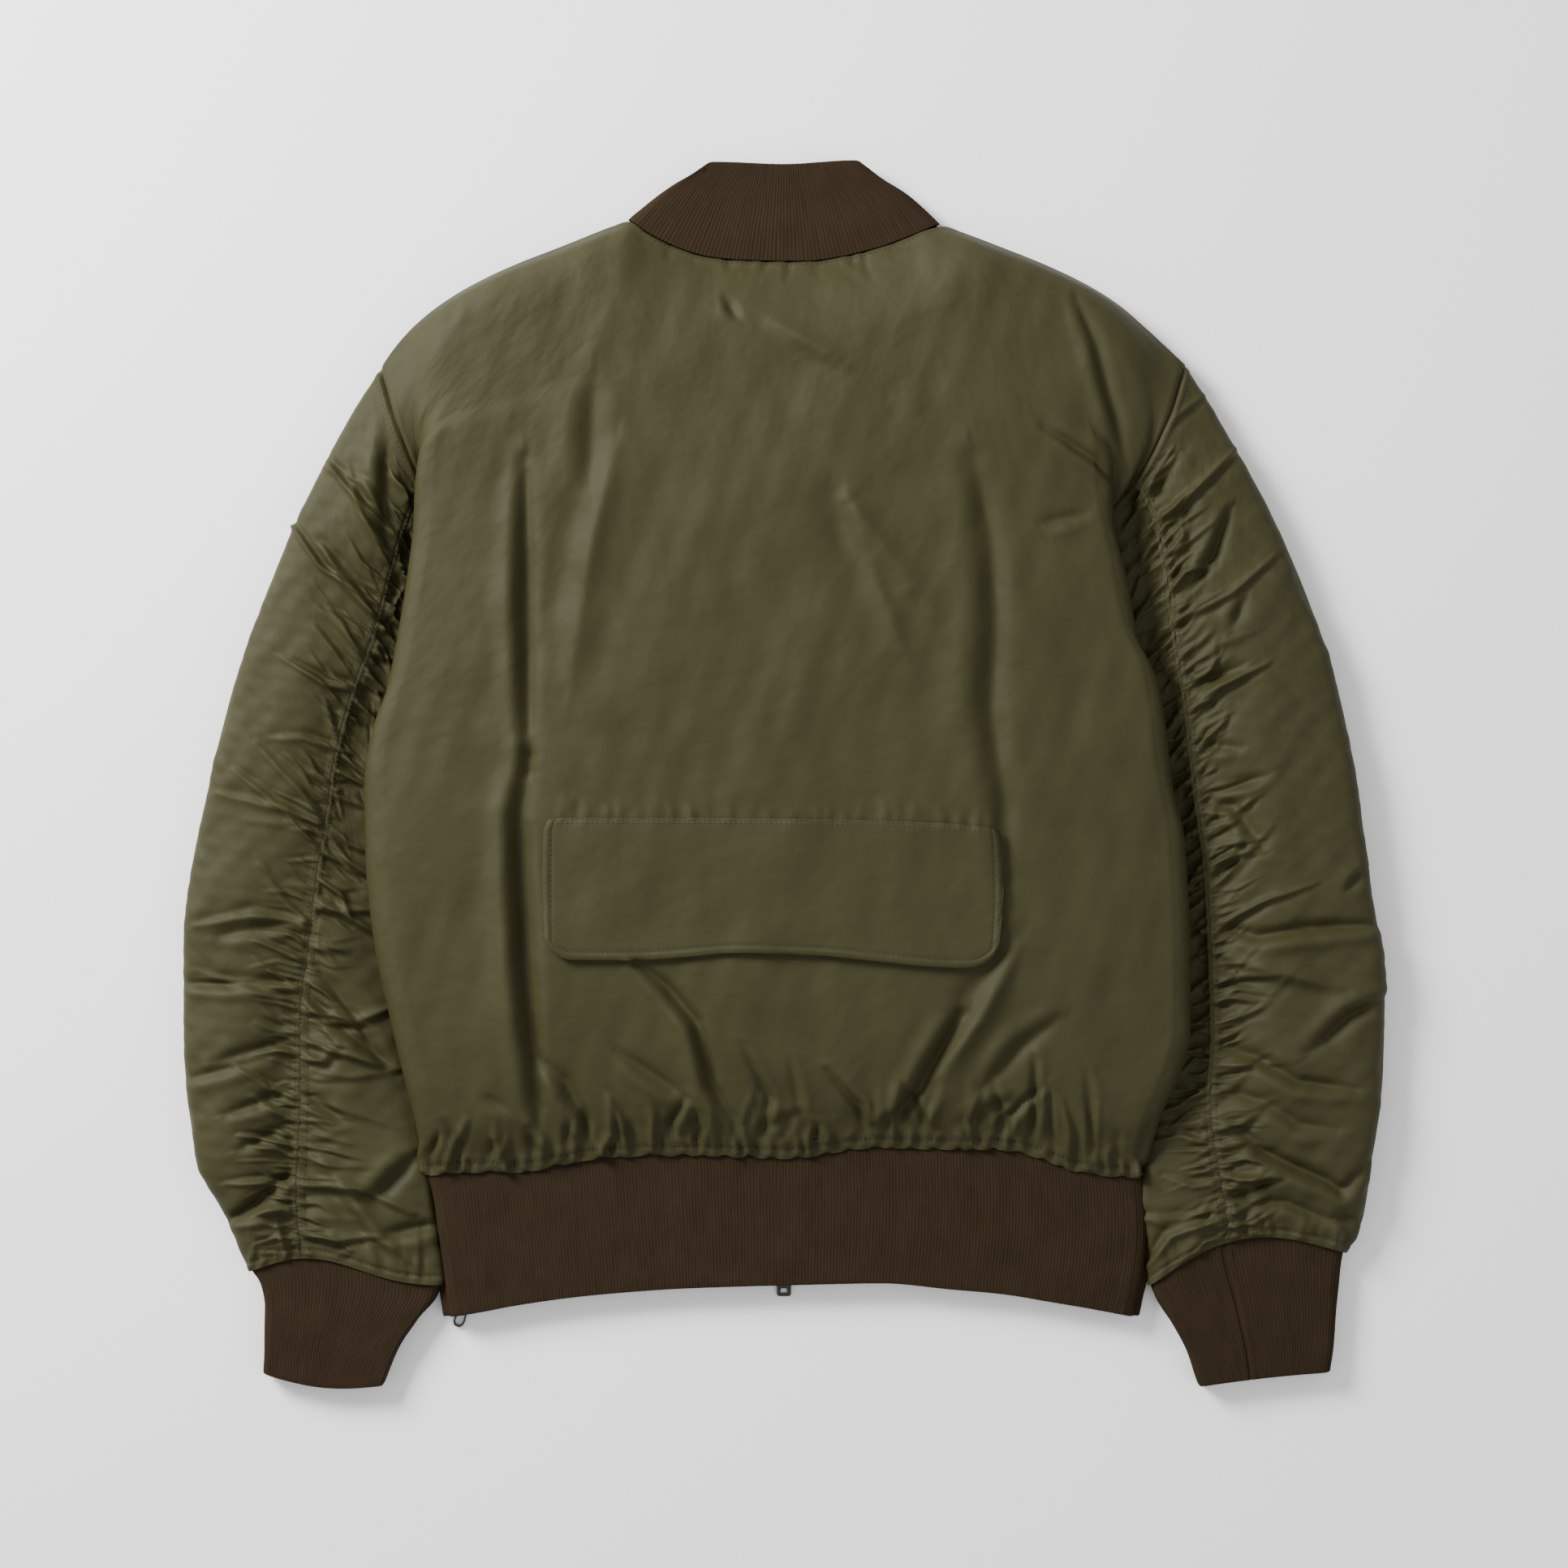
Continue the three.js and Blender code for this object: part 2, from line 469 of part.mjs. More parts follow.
// Upper border of the body: place 0 to 1 over the shoulder from its point to the neck, 1 to 2 round the
// collar's side fold to the middle of the back, or of the front.
function bodyTop(side, place, front) {
  const sign = SIDE[side];
  if (place <= 1) {
    const rows = SHOULDER[side];
    const end = rows[rows.length - 1].at;
    const out = mix(end, NECK_OUT, place);
    const slope = (read(rows, 'y', out + 0.5) - read(rows, 'y', out - 0.5));
    const n = v3(sign * -slope, 1, 0).normalize();
    const p = v3(sign * out, read(rows, 'y', out), mix(SHOULDER_Z, NECK_Z, place));
    if (place <= 0) return { p: sleeveBase(side, 0, 0), n: armholeNormal(side, 0) };
    return { p, n };
  }
  const sideways = v3(sign * 0.55, 0.83, 0);
  const up = front ? -1 : 1;
  const turn = Math.min(1, (place - 1) / NECK_ARC) * Math.PI / 2;
  const out = place - 1 < NECK_ARC ? NECK_OUT - NECK_R * (1 - Math.cos(turn))
    : mix(NECK_OUT - NECK_R, 0, (place - 1 - NECK_ARC) / (1 - NECK_ARC));
  const neck = front ? read(NECK_FRONT, 'y', out) : read(NECK_BACK, 'y', sign * out);
  const fold = read(SHOULDER[side], 'y', NECK_OUT);
  const y = front ? mix(fold, neck, ease((place - 1) / NECK_ARC)) : neck;
  const p = v3(sign * out, y, NECK_Z + up * NECK_R * Math.sin(turn));
  return { p, n: sideways.multiplyScalar(Math.cos(turn)).add(v3(0, 0, up * Math.sin(turn))).normalize() };
}

// Distance from the middle of the section's named places on one side.
function sectionSide(side, at) {
  const high = BODY_HIGH[side];
  const low = BODY_LOW[side].map((r) => ({
    at: r.at,
    rimX: r.edge - r.round * 0.29,
    rimZ: r.mid - r.round * 0.71,
    edgeX: r.edge,
    edgeZ: r.mid,
    browX: r.edge - r.round * 0.29,
    browZ: r.mid + r.round * 0.71,
    crownX: r.edge - r.round * 1.15,
    crownZ: r.mid + r.round * mix(1.1, 1, ease((r.at - 0.9) / 0.1)),
  }));
  const rows = high.concat(low);
  return ['rim', 'edge', 'brow', 'crown'].map((name) => [read(rows, `${name}X`, at), read(rows, `${name}Z`, at)]);
}

// x and z of the back's section, knot 0 at the left side to END_KNOT at the right.
function backSection(knot, at) {
  const crowns = ['left', 'right'].map((side) => sectionSide(side, at)[3]);
  const dome = (w) => {
    const crown = mix(crowns[0][1], crowns[1][1], w);
    return crown + Math.max(0, read(DOME, 'height', at) - crown) * (4 * w * (1 - w)) ** 0.8;
  };
  const flat = END_KNOT - 2 * TOP_KNOT;
  if (knot >= TOP_KNOT && knot <= END_KNOT - TOP_KNOT) {
    const w = (knot - TOP_KNOT) / flat;
    return [mix(-crowns[0][0], crowns[1][0], w), dome(w)];
  }
  const side = knot < TOP_KNOT ? 'left' : 'right';
  const place = side === 'left' ? knot : END_KNOT - knot;
  const { p } = bodySide(side, at, false);
  const own = sectionSide(side, at);
  const beyond = 16 / (crowns[0][0] + crowns[1][0]);
  const points = [[Math.abs(p.x), p.z], ...own, [own[3][0] - 16, dome(beyond)]];
  const [out, z] = alongCurve(points, place, false);
  return [SIDE[side] * out, z];
}

// The shoulder and neck border above a section place of the back.
function topY(knot) {
  const [x] = backSection(knot, 0);
  const side = x < 0 ? 'left' : 'right';
  const out = Math.abs(x);
  return out > NECK_OUT ? read(SHOULDER[side], 'y', out) : read(NECK_BACK, 'y', x);
}

function topZ(x) {
  const out = Math.abs(x);
  if (out >= NECK_OUT) return mix(NECK_Z, SHOULDER_Z, (out - NECK_OUT) / 160);
  const inside = Math.min(NECK_R, NECK_OUT - out);
  return NECK_Z + Math.sqrt(NECK_R ** 2 - (NECK_R - inside) ** 2);
}

// How far a row's side lies off an even spacing. Away from the armhole's curve the rows follow its chord.
function sideShift(side, at, knot) {
  const top = sleeveBase(side, 0, 0).y;
  const own = bodySide(side, at, false).p.y;
  const chord = at < PIT ? mix(top, sleeveBase(side, 0, INNER_KNOT).y, at / PIT) : own;
  return mix(own, chord, CHORD_SHARE * ease(knot)) - mix(top, HEM_CORNER_Y, at);
}

// One point of the back before folds and gathers.
function backBase(at, knot) {
  const [x, z] = backSection(knot, at);
  const [x0] = backSection(knot, 0);
  const top = topY(knot);
  const hem = read(HEM_EDGE, 'y', backSection(knot, 1)[0]);
  const k = knot / END_KNOT;
  const left = sideShift('left', at, knot);
  const right = sideShift('right', at, END_KNOT - knot);
  const y = mix(top, hem, at) + (1 - k) ** 2 * left + k ** 2 * right;
  const neck = ease((NECK_OUT + 25 - Math.abs(x0)) / 50);
  const t = clamp((top - y) / mix(SHOULDER_RISE, NECK_RISE, neck));
  const rise = 1 - (1 - t) ** 2;
  const grown = mix(Math.sqrt(rise), rise, neck);
  const inside = ease(Math.min(knot, END_KNOT - knot));
  return v3(x, y, mix(z, mix(topZ(x0), z, grown), inside));
}

function backNormal(at, knot) {
  const n = crossNormal((a, k) => backBase(clamp(a), Math.min(END_KNOT, Math.max(0, k))), at, knot, [0, 1]);
  if (knot <= 0) return bodySide('left', at, false).n;
  if (knot >= END_KNOT) return bodySide('right', at, false).n;
  if (knot < 1) n.lerp(bodySide('left', at, false).n, 1 - ease(knot)).normalize();
  if (knot > END_KNOT - 1) n.lerp(bodySide('right', at, false).n, 1 - ease(END_KNOT - knot)).normalize();
  return n;
}

function hemWave(knot) {
  const flat = (knot - TOP_KNOT) / (END_KNOT - 2 * TOP_KNOT);
  if (flat <= 0 || flat >= 1) return 0;
  const place = flat * HEM_WAVES;
  return (0.5 - 0.5 * Math.cos(2 * Math.PI * place)) * mix(0.6, 1.1, HASH(Math.floor(place), 9));
}

// A point of the back panel with its folds and gathers. lift moves it outward.
function backPoint(at, knot, gather, lift = 0) {
  const base = backBase(at, knot);
  const n = backNormal(at, knot);
  const quiet = ease(at / 0.07) * ease((1 - HEM_LAP - at) / 0.06) * ease((knot - 1) / 2.5) * ease((END_KNOT - 1 - knot) / 2.5);
  const wave = gather * hemWave(knot);
  const d = foldHeight(BODY_FOLDS, base.x, base.y) * quiet + wave * HEM_WAVE_HEIGHT + lift;
  const outer = base.addScaledVector(n, d);
  outer.y += (wave - 0.5 * gather) * HEM_SCALLOP;
  return { at: knot, outer, inner: outer.clone().addScaledVector(n, -CLOTH) };
}

// Section places of the back's rows: finer at the round sides, one at each end of the flap, one at each
// side of the neck.
const FLAP_LEFT = TOP_KNOT + 0.203 * (END_KNOT - 2 * TOP_KNOT);
const FLAP_RIGHT = TOP_KNOT + 0.77 * (END_KNOT - 2 * TOP_KNOT);
const FLAP_COLUMNS = spread(FLAP_LEFT, FLAP_RIGHT, 12);
const BACK_COLUMNS = [
  0, 0.6, 1.3, 2, 2.7, 3.4, 4, 4.3, 4.6,
  ...FLAP_COLUMNS,
  7.35, 7.65, 8, 8.6, 9.3, 10, 10.7, 11.4, 12,
];
const WAVE_COLUMNS = [
  0, 0.6, 1.3, 2, 2.7, 3.4,
  ...spread(TOP_KNOT, END_KNOT - TOP_KNOT, HEM_WAVES * 3 + 1),
  8.6, 9.3, 10, 10.7, 11.4, 12,
];
// Rows of the back by their place between shoulder and hem, those under the flap apart.
const FLAP_ROWS = [0.622, 0.648, 0.676, 0.704, 0.732, 0.756, 0.776];
const BACK_ROWS = [
  0.007, ...[1, 1.8, 2.6, 3.5, 4, 4.7, 6, 7.4].map((knot) => PIT * knot / INNER_KNOT), PIT,
  0.235, 0.29, 0.35, 0.41, 0.47, 0.53, 0.58,
  ...FLAP_ROWS,
  0.808, 0.84, 0.87, 0.9, 0.93, 0.955,
];
const TOP_PLACES = [0, 0.08, 0.18, 0.3, 0.42, 0.55, 0.68, 0.8, 0.9];
const NECK_PLACES = [1, 1.1, 1.2, 1.3, 1.42, 1.55, 1.7, 1.85, 2];

function borderPoint(border, shift, at) {
  const outer = border.p.clone().add(shift);
  return { at, outer, inner: outer.clone().addScaledVector(border.n, -CLOTH) };
}

// Section place whose point on the upper border is at x.
function knotAt(section, x, end) {
  let low = 0;
  let high = end;
  for (let i = 0; i < 30; i += 1) {
    const middle = (low + high) / 2;
    if (section(middle) < x) low = middle;
    else high = middle;
  }
  return (low + high) / 2;
}

// From the collar's foot to the panel's border: along the cloth, which is sideways at the fold.
function neckGap(side, place, up) {
  const flat = Math.min(1, (place - 1) / NECK_ARC);
  const turn = flat * Math.PI / 2;
  const aside = 0.83 * Math.cos(turn);
  return v3(SIDE[side] * aside, -Math.hypot(0.56 * Math.cos(turn), Math.sin(turn)), up * 0.5 * (1 - flat)).multiplyScalar(GAP);
}

function backPanel() {
  const over = v3(0, 0, GAP / 2);
  const border = (side) => [...TOP_PLACES, ...NECK_PLACES].map((place) => {
    const b = bodyTop(side, place, false);
    const at = knotAt((k) => backSection(k, 0)[0], b.p.x, END_KNOT);
    return borderPoint(b, place < 1 ? over : neckGap(side, place, 1), at);
  });
  const right = border('right').reverse();
  const lines = [[...border('left'), ...right.slice(1)]];
  const sideGap = (side) => v3(SIDE[side] * GAP * 0.4, 0, GAP * 0.4);
  for (const at of [...BACK_ROWS, 1 - HEM_LAP, 1]) {
    const gathered = at > 0.96;
    const columns = gathered ? WAVE_COLUMNS : BACK_COLUMNS;
    lines.push(columns.map((knot) => {
      if (knot === 0 || knot === END_KNOT) {
        const side = knot === 0 ? 'left' : 'right';
        const b = bodySide(side, at, false);
        const shift = at < PIT - 0.01 ? v3(0, 0, 0) : sideGap(side);
        return { ...borderPoint(b, shift, knot) };
      }
      return { ...backPoint(at, knot, gathered ? 1 : 0), free: !gathered };
    }));
  }
  return evenInside(lines);
}

// Front panels: place 0 at the side, 1 to 4 down to the table, 4 to 8 flat to the front edge.
const FRONT_DROP = table('away part', [[8, 0.9], [16, 0.42], [25, 0.06], [38, 0]]);
const FRONT_END = 8;
function frontSection(side, knot, at) {
  const { p } = bodySide(side, at, true);
  const out = Math.abs(p.x);
  const row = FRONT_DROP[FRONT_DROP.length - 1];
  if (knot >= 4) return [mix(out - row.away, FRONT_EDGE, (knot - 4) / 4), 0];
  const points = [[out, p.z], ...FRONT_DROP.map((r) => [out - r.away, p.z * r.part]), [out - 52, 0]];
  const [x, z] = alongCurve(points, knot, false);
  return [x, Math.max(0, z)];
}

function frontTopY(side, out) {
  if (out > NECK_OUT) return read(SHOULDER[side], 'y', out);
  const fold = read(SHOULDER[side], 'y', NECK_OUT);
  return mix(fold, read(NECK_FRONT, 'y', out), ease((NECK_OUT - out) / NECK_R));
}

function frontBase(side, at, knot) {
  const [out, z] = frontSection(side, knot, at);
  const [out0] = frontSection(side, knot, 0);
  const top = frontTopY(side, out0);
  const hem = read(HEM_EDGE, 'y', SIDE[side] * frontSection(side, knot, 1)[0]);
  const k = 1 - knot / FRONT_END;
  const shift = bodySide(side, at, true).p.y - mix(sleeveBase(side, 0, 0).y, HEM_CORNER_Y, at);
  const y = mix(top, hem, at) + k ** 2 * shift;
  const t = clamp((top - y) / FRONT_FALL);
  const start = out0 > NECK_OUT ? mix(NECK_Z, SHOULDER_Z, (out0 - NECK_OUT) / 160)
    : NECK_Z - Math.sqrt(NECK_R ** 2 - Math.max(0, NECK_R - (NECK_OUT - out0)) ** 2);
  const fallen = Math.sqrt(1 - (1 - t) ** 2);
  return v3(SIDE[side] * out, y, mix(z, mix(start, z, fallen), ease(knot)));
}

function frontNormal(side, at, knot) {
  if (knot <= 0) return bodySide(side, at, true).n;
  const n = crossNormal((a, k) => frontBase(side, clamp(a), Math.min(FRONT_END, Math.max(0, k))), at, knot, [0, 1]);
  if (n.z > 0) n.negate();
  if (knot < 1) n.lerp(bodySide(side, at, true).n, 1 - ease(knot)).normalize();
  return n;
}

const FRONT_COLUMNS = [0, 0.7, 1.4, 2.1, 2.8, 3.5, 4.5, 5.7, 6.9, 8];
const FRONT_NECK = [1, 1.1, 1.2, 1.3, 1.42, 1.55, 1.7, 1.85, 1.937];

function frontPanel(side) {
  const border = [...TOP_PLACES, ...FRONT_NECK].map((place) => {
    const b = bodyTop(side, place, true);
    const at = knotAt((k) => -frontSection(side, k, 0)[0], -Math.abs(b.p.x), FRONT_END);
    return borderPoint(b, place < 1 ? v3(0, 0, -GAP / 2) : neckGap(side, place, -1), at);
  });
  const lines = [border];
  for (const at of FRONT_ROWS) {
    lines.push(FRONT_COLUMNS.map((knot) => {
      const base = frontBase(side, at, knot);
      const n = frontNormal(side, at, knot);
      const b = { p: base, n };
      if (knot > 0) return borderPoint(b, v3(0, 0, 0), knot);
      const seam = bodySide(side, at, true);
      const shift = at < PIT - 0.01 ? v3(0, 0, 0) : v3(-SIDE[side] * GAP * 0.4, 0, -Math.min(seam.p.z, GAP * 0.4));
      return borderPoint(seam, shift, 0);
    }));
  }
  return lines;
}

// Stitches two neighbouring lines of points into triangles by their places.
function strip(faces, a, b, places) {
  let i = 0;
  let j = 0;
  while (i < a.length - 1 || j < b.length - 1) {
    const stepA = j === b.length - 1
      || (i < a.length - 1 && places(a, i + 1) <= places(b, j + 1));
    if (stepA) {
      faces.push([a[i].id, b[j].id, a[i + 1].id]);
      i += 1;
    } else {
      faces.push([a[i].id, b[j].id, b[j + 1].id]);
      j += 1;
    }
  }
}

// Sets the inner face of the free points one cloth's thickness behind the outer face as it is meshed.
function evenInside(lines) {
  const points = [];
  const ids = lines.map((line) => line.map((p) => ({ at: p.at, id: points.push(p.outer) - 1 })));
  const faces = [];
  const place = (line, i) => (line[i].at - line[0].at) / (line[line.length - 1].at - line[0].at);
  for (let k = 0; k + 1 < lines.length; k += 1) strip(faces, ids[k], ids[k + 1], place);
  const normals = points.map(() => v3(0, 0, 0));
  for (const face of faces) {
    const [a, b, c] = face.map((id) => points[id]);
    const n = b.clone().sub(a).cross(c.clone().sub(a)).normalize();
    for (const id of face) normals[id].add(n);
  }
  lines.forEach((line, k) => line.forEach((p, i) => {
    if (!p.free) return;
    const n = normals[ids[k][i].id].normalize();
    if (n.dot(p.outer.clone().sub(p.inner)) < 0) n.negate();
    p.inner.copy(p.outer).addScaledVector(n, -CLOTH);
  }));
  return lines;
}

// Closes lines of outer and inner points into one wall. round joins the ends of every line.
function wall(lines, round = false) {
  const points = [];
  const outer = lines.map((line) => line.map((p) => ({ at: p.at, id: points.push(p.outer) - 1 })));
  const inner = lines.map((line) => line.map((p) => ({ at: p.at, id: points.push(p.inner) - 1 })));
  const ends = (line) => (round ? [...line, { at: Infinity, id: line[0].id }] : line);
  const faces = [];
  const place = (line, i) => {
    const first = line[0].at;
    const last = round ? line[line.length - 2].at : line[line.length - 1].at;
    return line[i].at === Infinity ? 2 : (line[i].at - first) / (last - first);
  };
  const flip = (list) => list.map(([a, b, c]) => [a, c, b]);
  for (let k = 0; k + 1 < lines.length; k += 1) {
    const skin = [];
    strip(skin, ends(outer[k]), ends(outer[k + 1]), place);
    faces.push(...skin);
    const back = [];
    strip(back, ends(inner[k]), ends(inner[k + 1]), place);
    faces.push(...flip(back));
  }
  const rim = (a, b, turned) => {
    const list = [];
    for (let i = 0; i + 1 < a.length; i += 1) {
      list.push([a[i].id, b[i + 1].id, b[i].id], [a[i].id, a[i + 1].id, b[i + 1].id]);
    }
    faces.push(...(turned ? flip(list) : list));
  };
  const last = lines.length - 1;
  rim(ends(outer[0]), ends(inner[0]), false);
  rim(ends(outer[last]), ends(inner[last]), true);
  if (!round) {
    rim(outer.map((l) => l[0]), inner.map((l) => l[0]), true);
    rim(outer.map((l) => l[l.length - 1]), inner.map((l) => l[l.length - 1]), false);
  }
  return solid(points, faces);
}

// Geometry from points and faces, turned so that the faces look out.
function solid(points, faces) {
  let volume = 0;
  for (const [a, b, c] of faces) volume += points[a].dot(points[b].clone().cross(points[c]));
  const index = faces.flatMap(([a, b, c]) => (volume < 0 ? [a, c, b] : [a, b, c]));
  const geometry = new THREE.BufferGeometry();
  geometry.setAttribute('position', new THREE.Float32BufferAttribute(points.flatMap((p) => [p.x, p.y, p.z]), 3));
  geometry.setIndex(index);
  geometry.computeVertexNormals();
  return geometry;
}

// Pocket flap: the back panel's own points moved out, without the corner ones so that the corners are cut.
function pocketFlap() {
  return FLAP_ROWS.map((at, row) => {
    const last = FLAP_ROWS.length - 1;
    const short = row === last ? 1 : 0;
    const columns = FLAP_COLUMNS.slice(short, FLAP_COLUMNS.length - short);
    const away = GAP + 0.15 + CLOTH + 1.6 * (row / last) ** 2;
    return columns.map((knot) => {
      const { outer } = backPoint(at, knot, 0);
      const n = backNormal(at, knot);
      outer.addScaledVector(n, away);
      return { at: knot, outer, inner: outer.clone().addScaledVector(n, -CLOTH) };
    });
  });
}

// The knit under the shell's lower end, place by place round the body: a front place from the front edge to
// the side, or a back place.
function hemTop(at, piece, knot) {
  if (piece === 'back') return { p: backBase(at, knot), n: backNormal(at, knot) };
  return { p: frontBase(piece, at, knot), n: frontNormal(piece, at, knot) };
}

// Hem band's outline by its place from the shell's edge to the lower edge, distances from the middle.
const HEM_SIDES = table('at left right', [
  [0, 234.5, 234.6], [0.1, 229.5, 235.4], [0.4, 225.3, 236.4], [0.65, 222.7, 235], [1, 219.4, 229],
]);
const HEM_BOTTOM = table('at y', [
  [-221, -354], [-205, -351.8], [-172.8, -345.8], [-125, -339.5], [-61.5, -334.9], [1, -333], [65, -331.7],
  [108, -335.6], [144, -338.9], [173, -343.7], [198, -347.9], [230, -354],
]);
// Where the knit is held off the table by a slider and its pull.
const LIFTS = table('x half top low', [[0, 24, -262, -303], [-210, 14, -290, -322]]);
const LIFT_HEIGHT = 4.4;

function liftAt(x, y) {
  let most = 0;
  for (const l of LIFTS) {
    const wide = 1 - ease((Math.abs(x - l.x) - 8) / l.half);
    most = Math.max(most, LIFT_HEIGHT * wide * ease((l.top - y) / (l.top - l.low)));
  }
  return most;
}

function hemPoint(station, piece, knot) {
  if (station < 0) {
    const { p, n } = hemTop(1 + station * HEM_LAP, piece, knot);
    return { p: p.addScaledVector(n, -INSET - DEEPER), n };
  }
  const top = hemTop(1, piece, knot);
  const p = top.p.clone().addScaledVector(top.n, -INSET);
  const side = p.x < 0 ? 'left' : 'right';
  const wide = read(HEM_SIDES, side, station) / read(HEM_SIDES, side, 0);
  const x = p.x * wide;
  const y = mix(p.y, read(HEM_BOTTOM, 'y', p.x * read(HEM_SIDES, side, 1) / read(HEM_SIDES, side, 0)), station);
  const grown = ease(station / 0.14);
  const high = (p.z - INSET) / (18 - 2 * INSET);
  const low = mix(INSET, 0, grown);
  const z = mix(low, mix(18 - INSET, HEM_HEIGHT, grown), clamp(high));
  const raised = liftAt(x, y) * (1 - clamp(high)) ** 2;
  return { p: v3(x, y, z + raised), n: top.n };
}

const HEM_STATIONS = [-1, 0, 0.12, 0.4, 0.7, 1];
const HEM_FRONT_PLACES = [8, 7.75, 7.3, 6.7, 5.7, 4.7, 3.9, 3.3, 2.7, 2.1, 1.5, 0.8];
const HEM_BACK_PLACES = [0.01, 0.6, 1.3, 2, 2.7, 3.4, 4, 4.5, 5, 5.5, 6, 6.5, 7, 7.5, 8, 8.6, 9.3, 10, 10.7, 11.4, 11.99];
function hemLines(places) {
  return HEM_STATIONS.map((station) => places.map(([piece, knot], i) => {
    const { p, n } = hemPoint(station, piece, knot);
    return { at: i, outer: p, inner: p.clone().addScaledVector(n, -RIB) };
  }));
}

function hemBand() {
  const places = HEM_FRONT_PLACES.map((k) => ['right', k]);
  places.push(...HEM_BACK_PLACES.slice().reverse().map((k) => ['back', k]));
  places[places.length - 1] = ['back', SIDE_ZIP.ring];
  return hemLines(places);
}

function hemFront() {
  const places = [['left', SIDE_ZIP.front]];
  places.push(...HEM_FRONT_PLACES.slice().reverse().filter((k) => k > SIDE_ZIP.front + 0.1).map((k) => ['left', k]));
  return hemLines(places);
}

// Collar: a knit band from one front end round the neck to the other.
const COLLAR_TOP_BACK = table('at y', [[-57, 394], [-48, 399.5], [0, 397.8], [48, 400.5], [57, 394]]);
const COLLAR_TOP_FRONT = table('at y', [[0, 352], [25, 356], [42, 368], [50, 381], [57, 394]]);
const COLLAR_STATIONS = [0, 0.12, 0.4, 0.7, 0.9, 1];
function collarPoint(side, place, front, station) {
  const foot = bodyTop(side, place, front);
  const sign = SIDE[side];
  const share = Math.abs(foot.p.x) / NECK_OUT;
  const topX = Math.max(COLLAR_SPLIT, COLLAR_TOP_OUT * share);
  const yTop = front ? read(COLLAR_TOP_FRONT, 'y', topX) : read(COLLAR_TOP_BACK, 'y', sign * topX);
  const z = mix(foot.p.z, foot.p.z * COLLAR_TOP_HEIGHT / (2 * NECK_Z), ease(station));
  const belly = 4 * Math.sin(Math.PI * station) * share ** 3;
  const x = sign * (mix(Math.abs(foot.p.x), topX, station) + belly);
  return { p: v3(x, mix(foot.p.y, yTop, station), z), n: foot.n };
}

function collar() {
  const places = [];
  for (const place of [2, 1.9, ...NECK_PLACES.slice(0, -1).reverse()]) places.push(['right', place, true]);
  for (const place of NECK_PLACES.slice(1)) places.push(['right', place, false]);
  for (const place of NECK_PLACES.slice(0, -1).reverse()) places.push(['left', place, false]);
  for (const place of [...NECK_PLACES.slice(1, -1), 1.9, 2]) places.push(['left', place, true]);
  return COLLAR_STATIONS.map((station) => places.map(([side, place, front], i) => {
    const { p, n } = collarPoint(side, place, front, station);
    if (front && place === 2) p.x = SIDE[side] * COLLAR_SPLIT;
    return { at: i, outer: p, inner: p.clone().addScaledVector(n, -RIB) };
  }));
}

// Cuff outlines by their place from the sleeve's edge to the free edge.
const CUFFS = {
  left: table('at ox oy ix iy bow', [
    [0, 348.4, -325.7, 228.4, -336, 9], [0.12, 343, -334, 231, -345, 5], [0.35, 340, -349, 240, -357, 0],
    [0.65, 340.3, -370, 252.5, -375, -2], [1, 340.8, -391, 262.2, -399, -5],
  ]),
  right: table('at ox oy ix iy bow', [
    [0, 366.5, -313.5, 242.4, -336, 21], [0.12, 364.5, -324, 246, -346, 16], [0.35, 362, -343, 255, -361, 6],
    [0.65, 360.5, -366, 264.5, -379, 1], [1, 357.5, -390, 271.5, -399.5, 1],
  ]),
};
const CUFF_STATIONS = [-1, 0, 0.12, 0.35, 0.65, 1];
const CUFF_PLACES = [0, 0.6, 1.3, 2, 2.8, 4, 5.2, 6.3, 7, 7.7, 8.4, 9, 9.6, 10.3, 11, 12, 13, 14, 15, 15.7, 16.4];

function cuffPoint(side, station, knot) {
  if (station <= 0) {
    const at = 1 + station * CUFF_LAP;
    const n = sleeveNormal(side, at, knot);
    return { p: sleeveBase(side, at, knot).addScaledVector(n, -INSET + DEEPER * station), n };
  }
  const start = sleeveBase(side, 1, knot);
  const n = sleeveNormal(side, 1, knot);
  start.addScaledVector(n, -INSET);
  const get = (column, at) => read(CUFFS[side], column, at);
  const sign = SIDE[side];
  const outer0 = v3(sign * get('ox', 0), get('oy', 0), 0);
  const inner0 = v3(sign * get('ix', 0), get('iy', 0), 0);
  const along0 = inner0.clone().sub(outer0);
  const part = clamp(start.clone().setZ(0).sub(outer0).dot(along0) / along0.lengthSq());
  const outer = v3(sign * get('ox', station), get('oy', station), 0);
  const inner = v3(sign * get('ix', station), get('iy', station), 0);
  const flat = outer.clone().lerp(inner, part);
  flat.y += get('bow', station) * Math.sin(Math.PI * part);
  const own = outer0.clone().lerp(inner0, part);
  own.y += get('bow', 0) * Math.sin(Math.PI * part);
  const left = start.clone().sub(own).setZ(0).multiplyScalar(1 - ease(station / 0.35));
  const grown = ease(station / 0.2);
  const high = clamp((start.z - INSET) / (17 - 2 * INSET));
  const z = mix(mix(INSET, 0, grown), mix(17 - INSET, CUFF_HEIGHT, grown), high);
  return { p: flat.add(left).setZ(z), n };
}

function cuff(side) {
  return CUFF_STATIONS.map((station) => CUFF_PLACES.map((knot, i) => {
    const { p, n } = cuffPoint(side, station, knot);
    return { at: i, outer: p, inner: p.clone().addScaledVector(n, -RIB) };
  }));
}

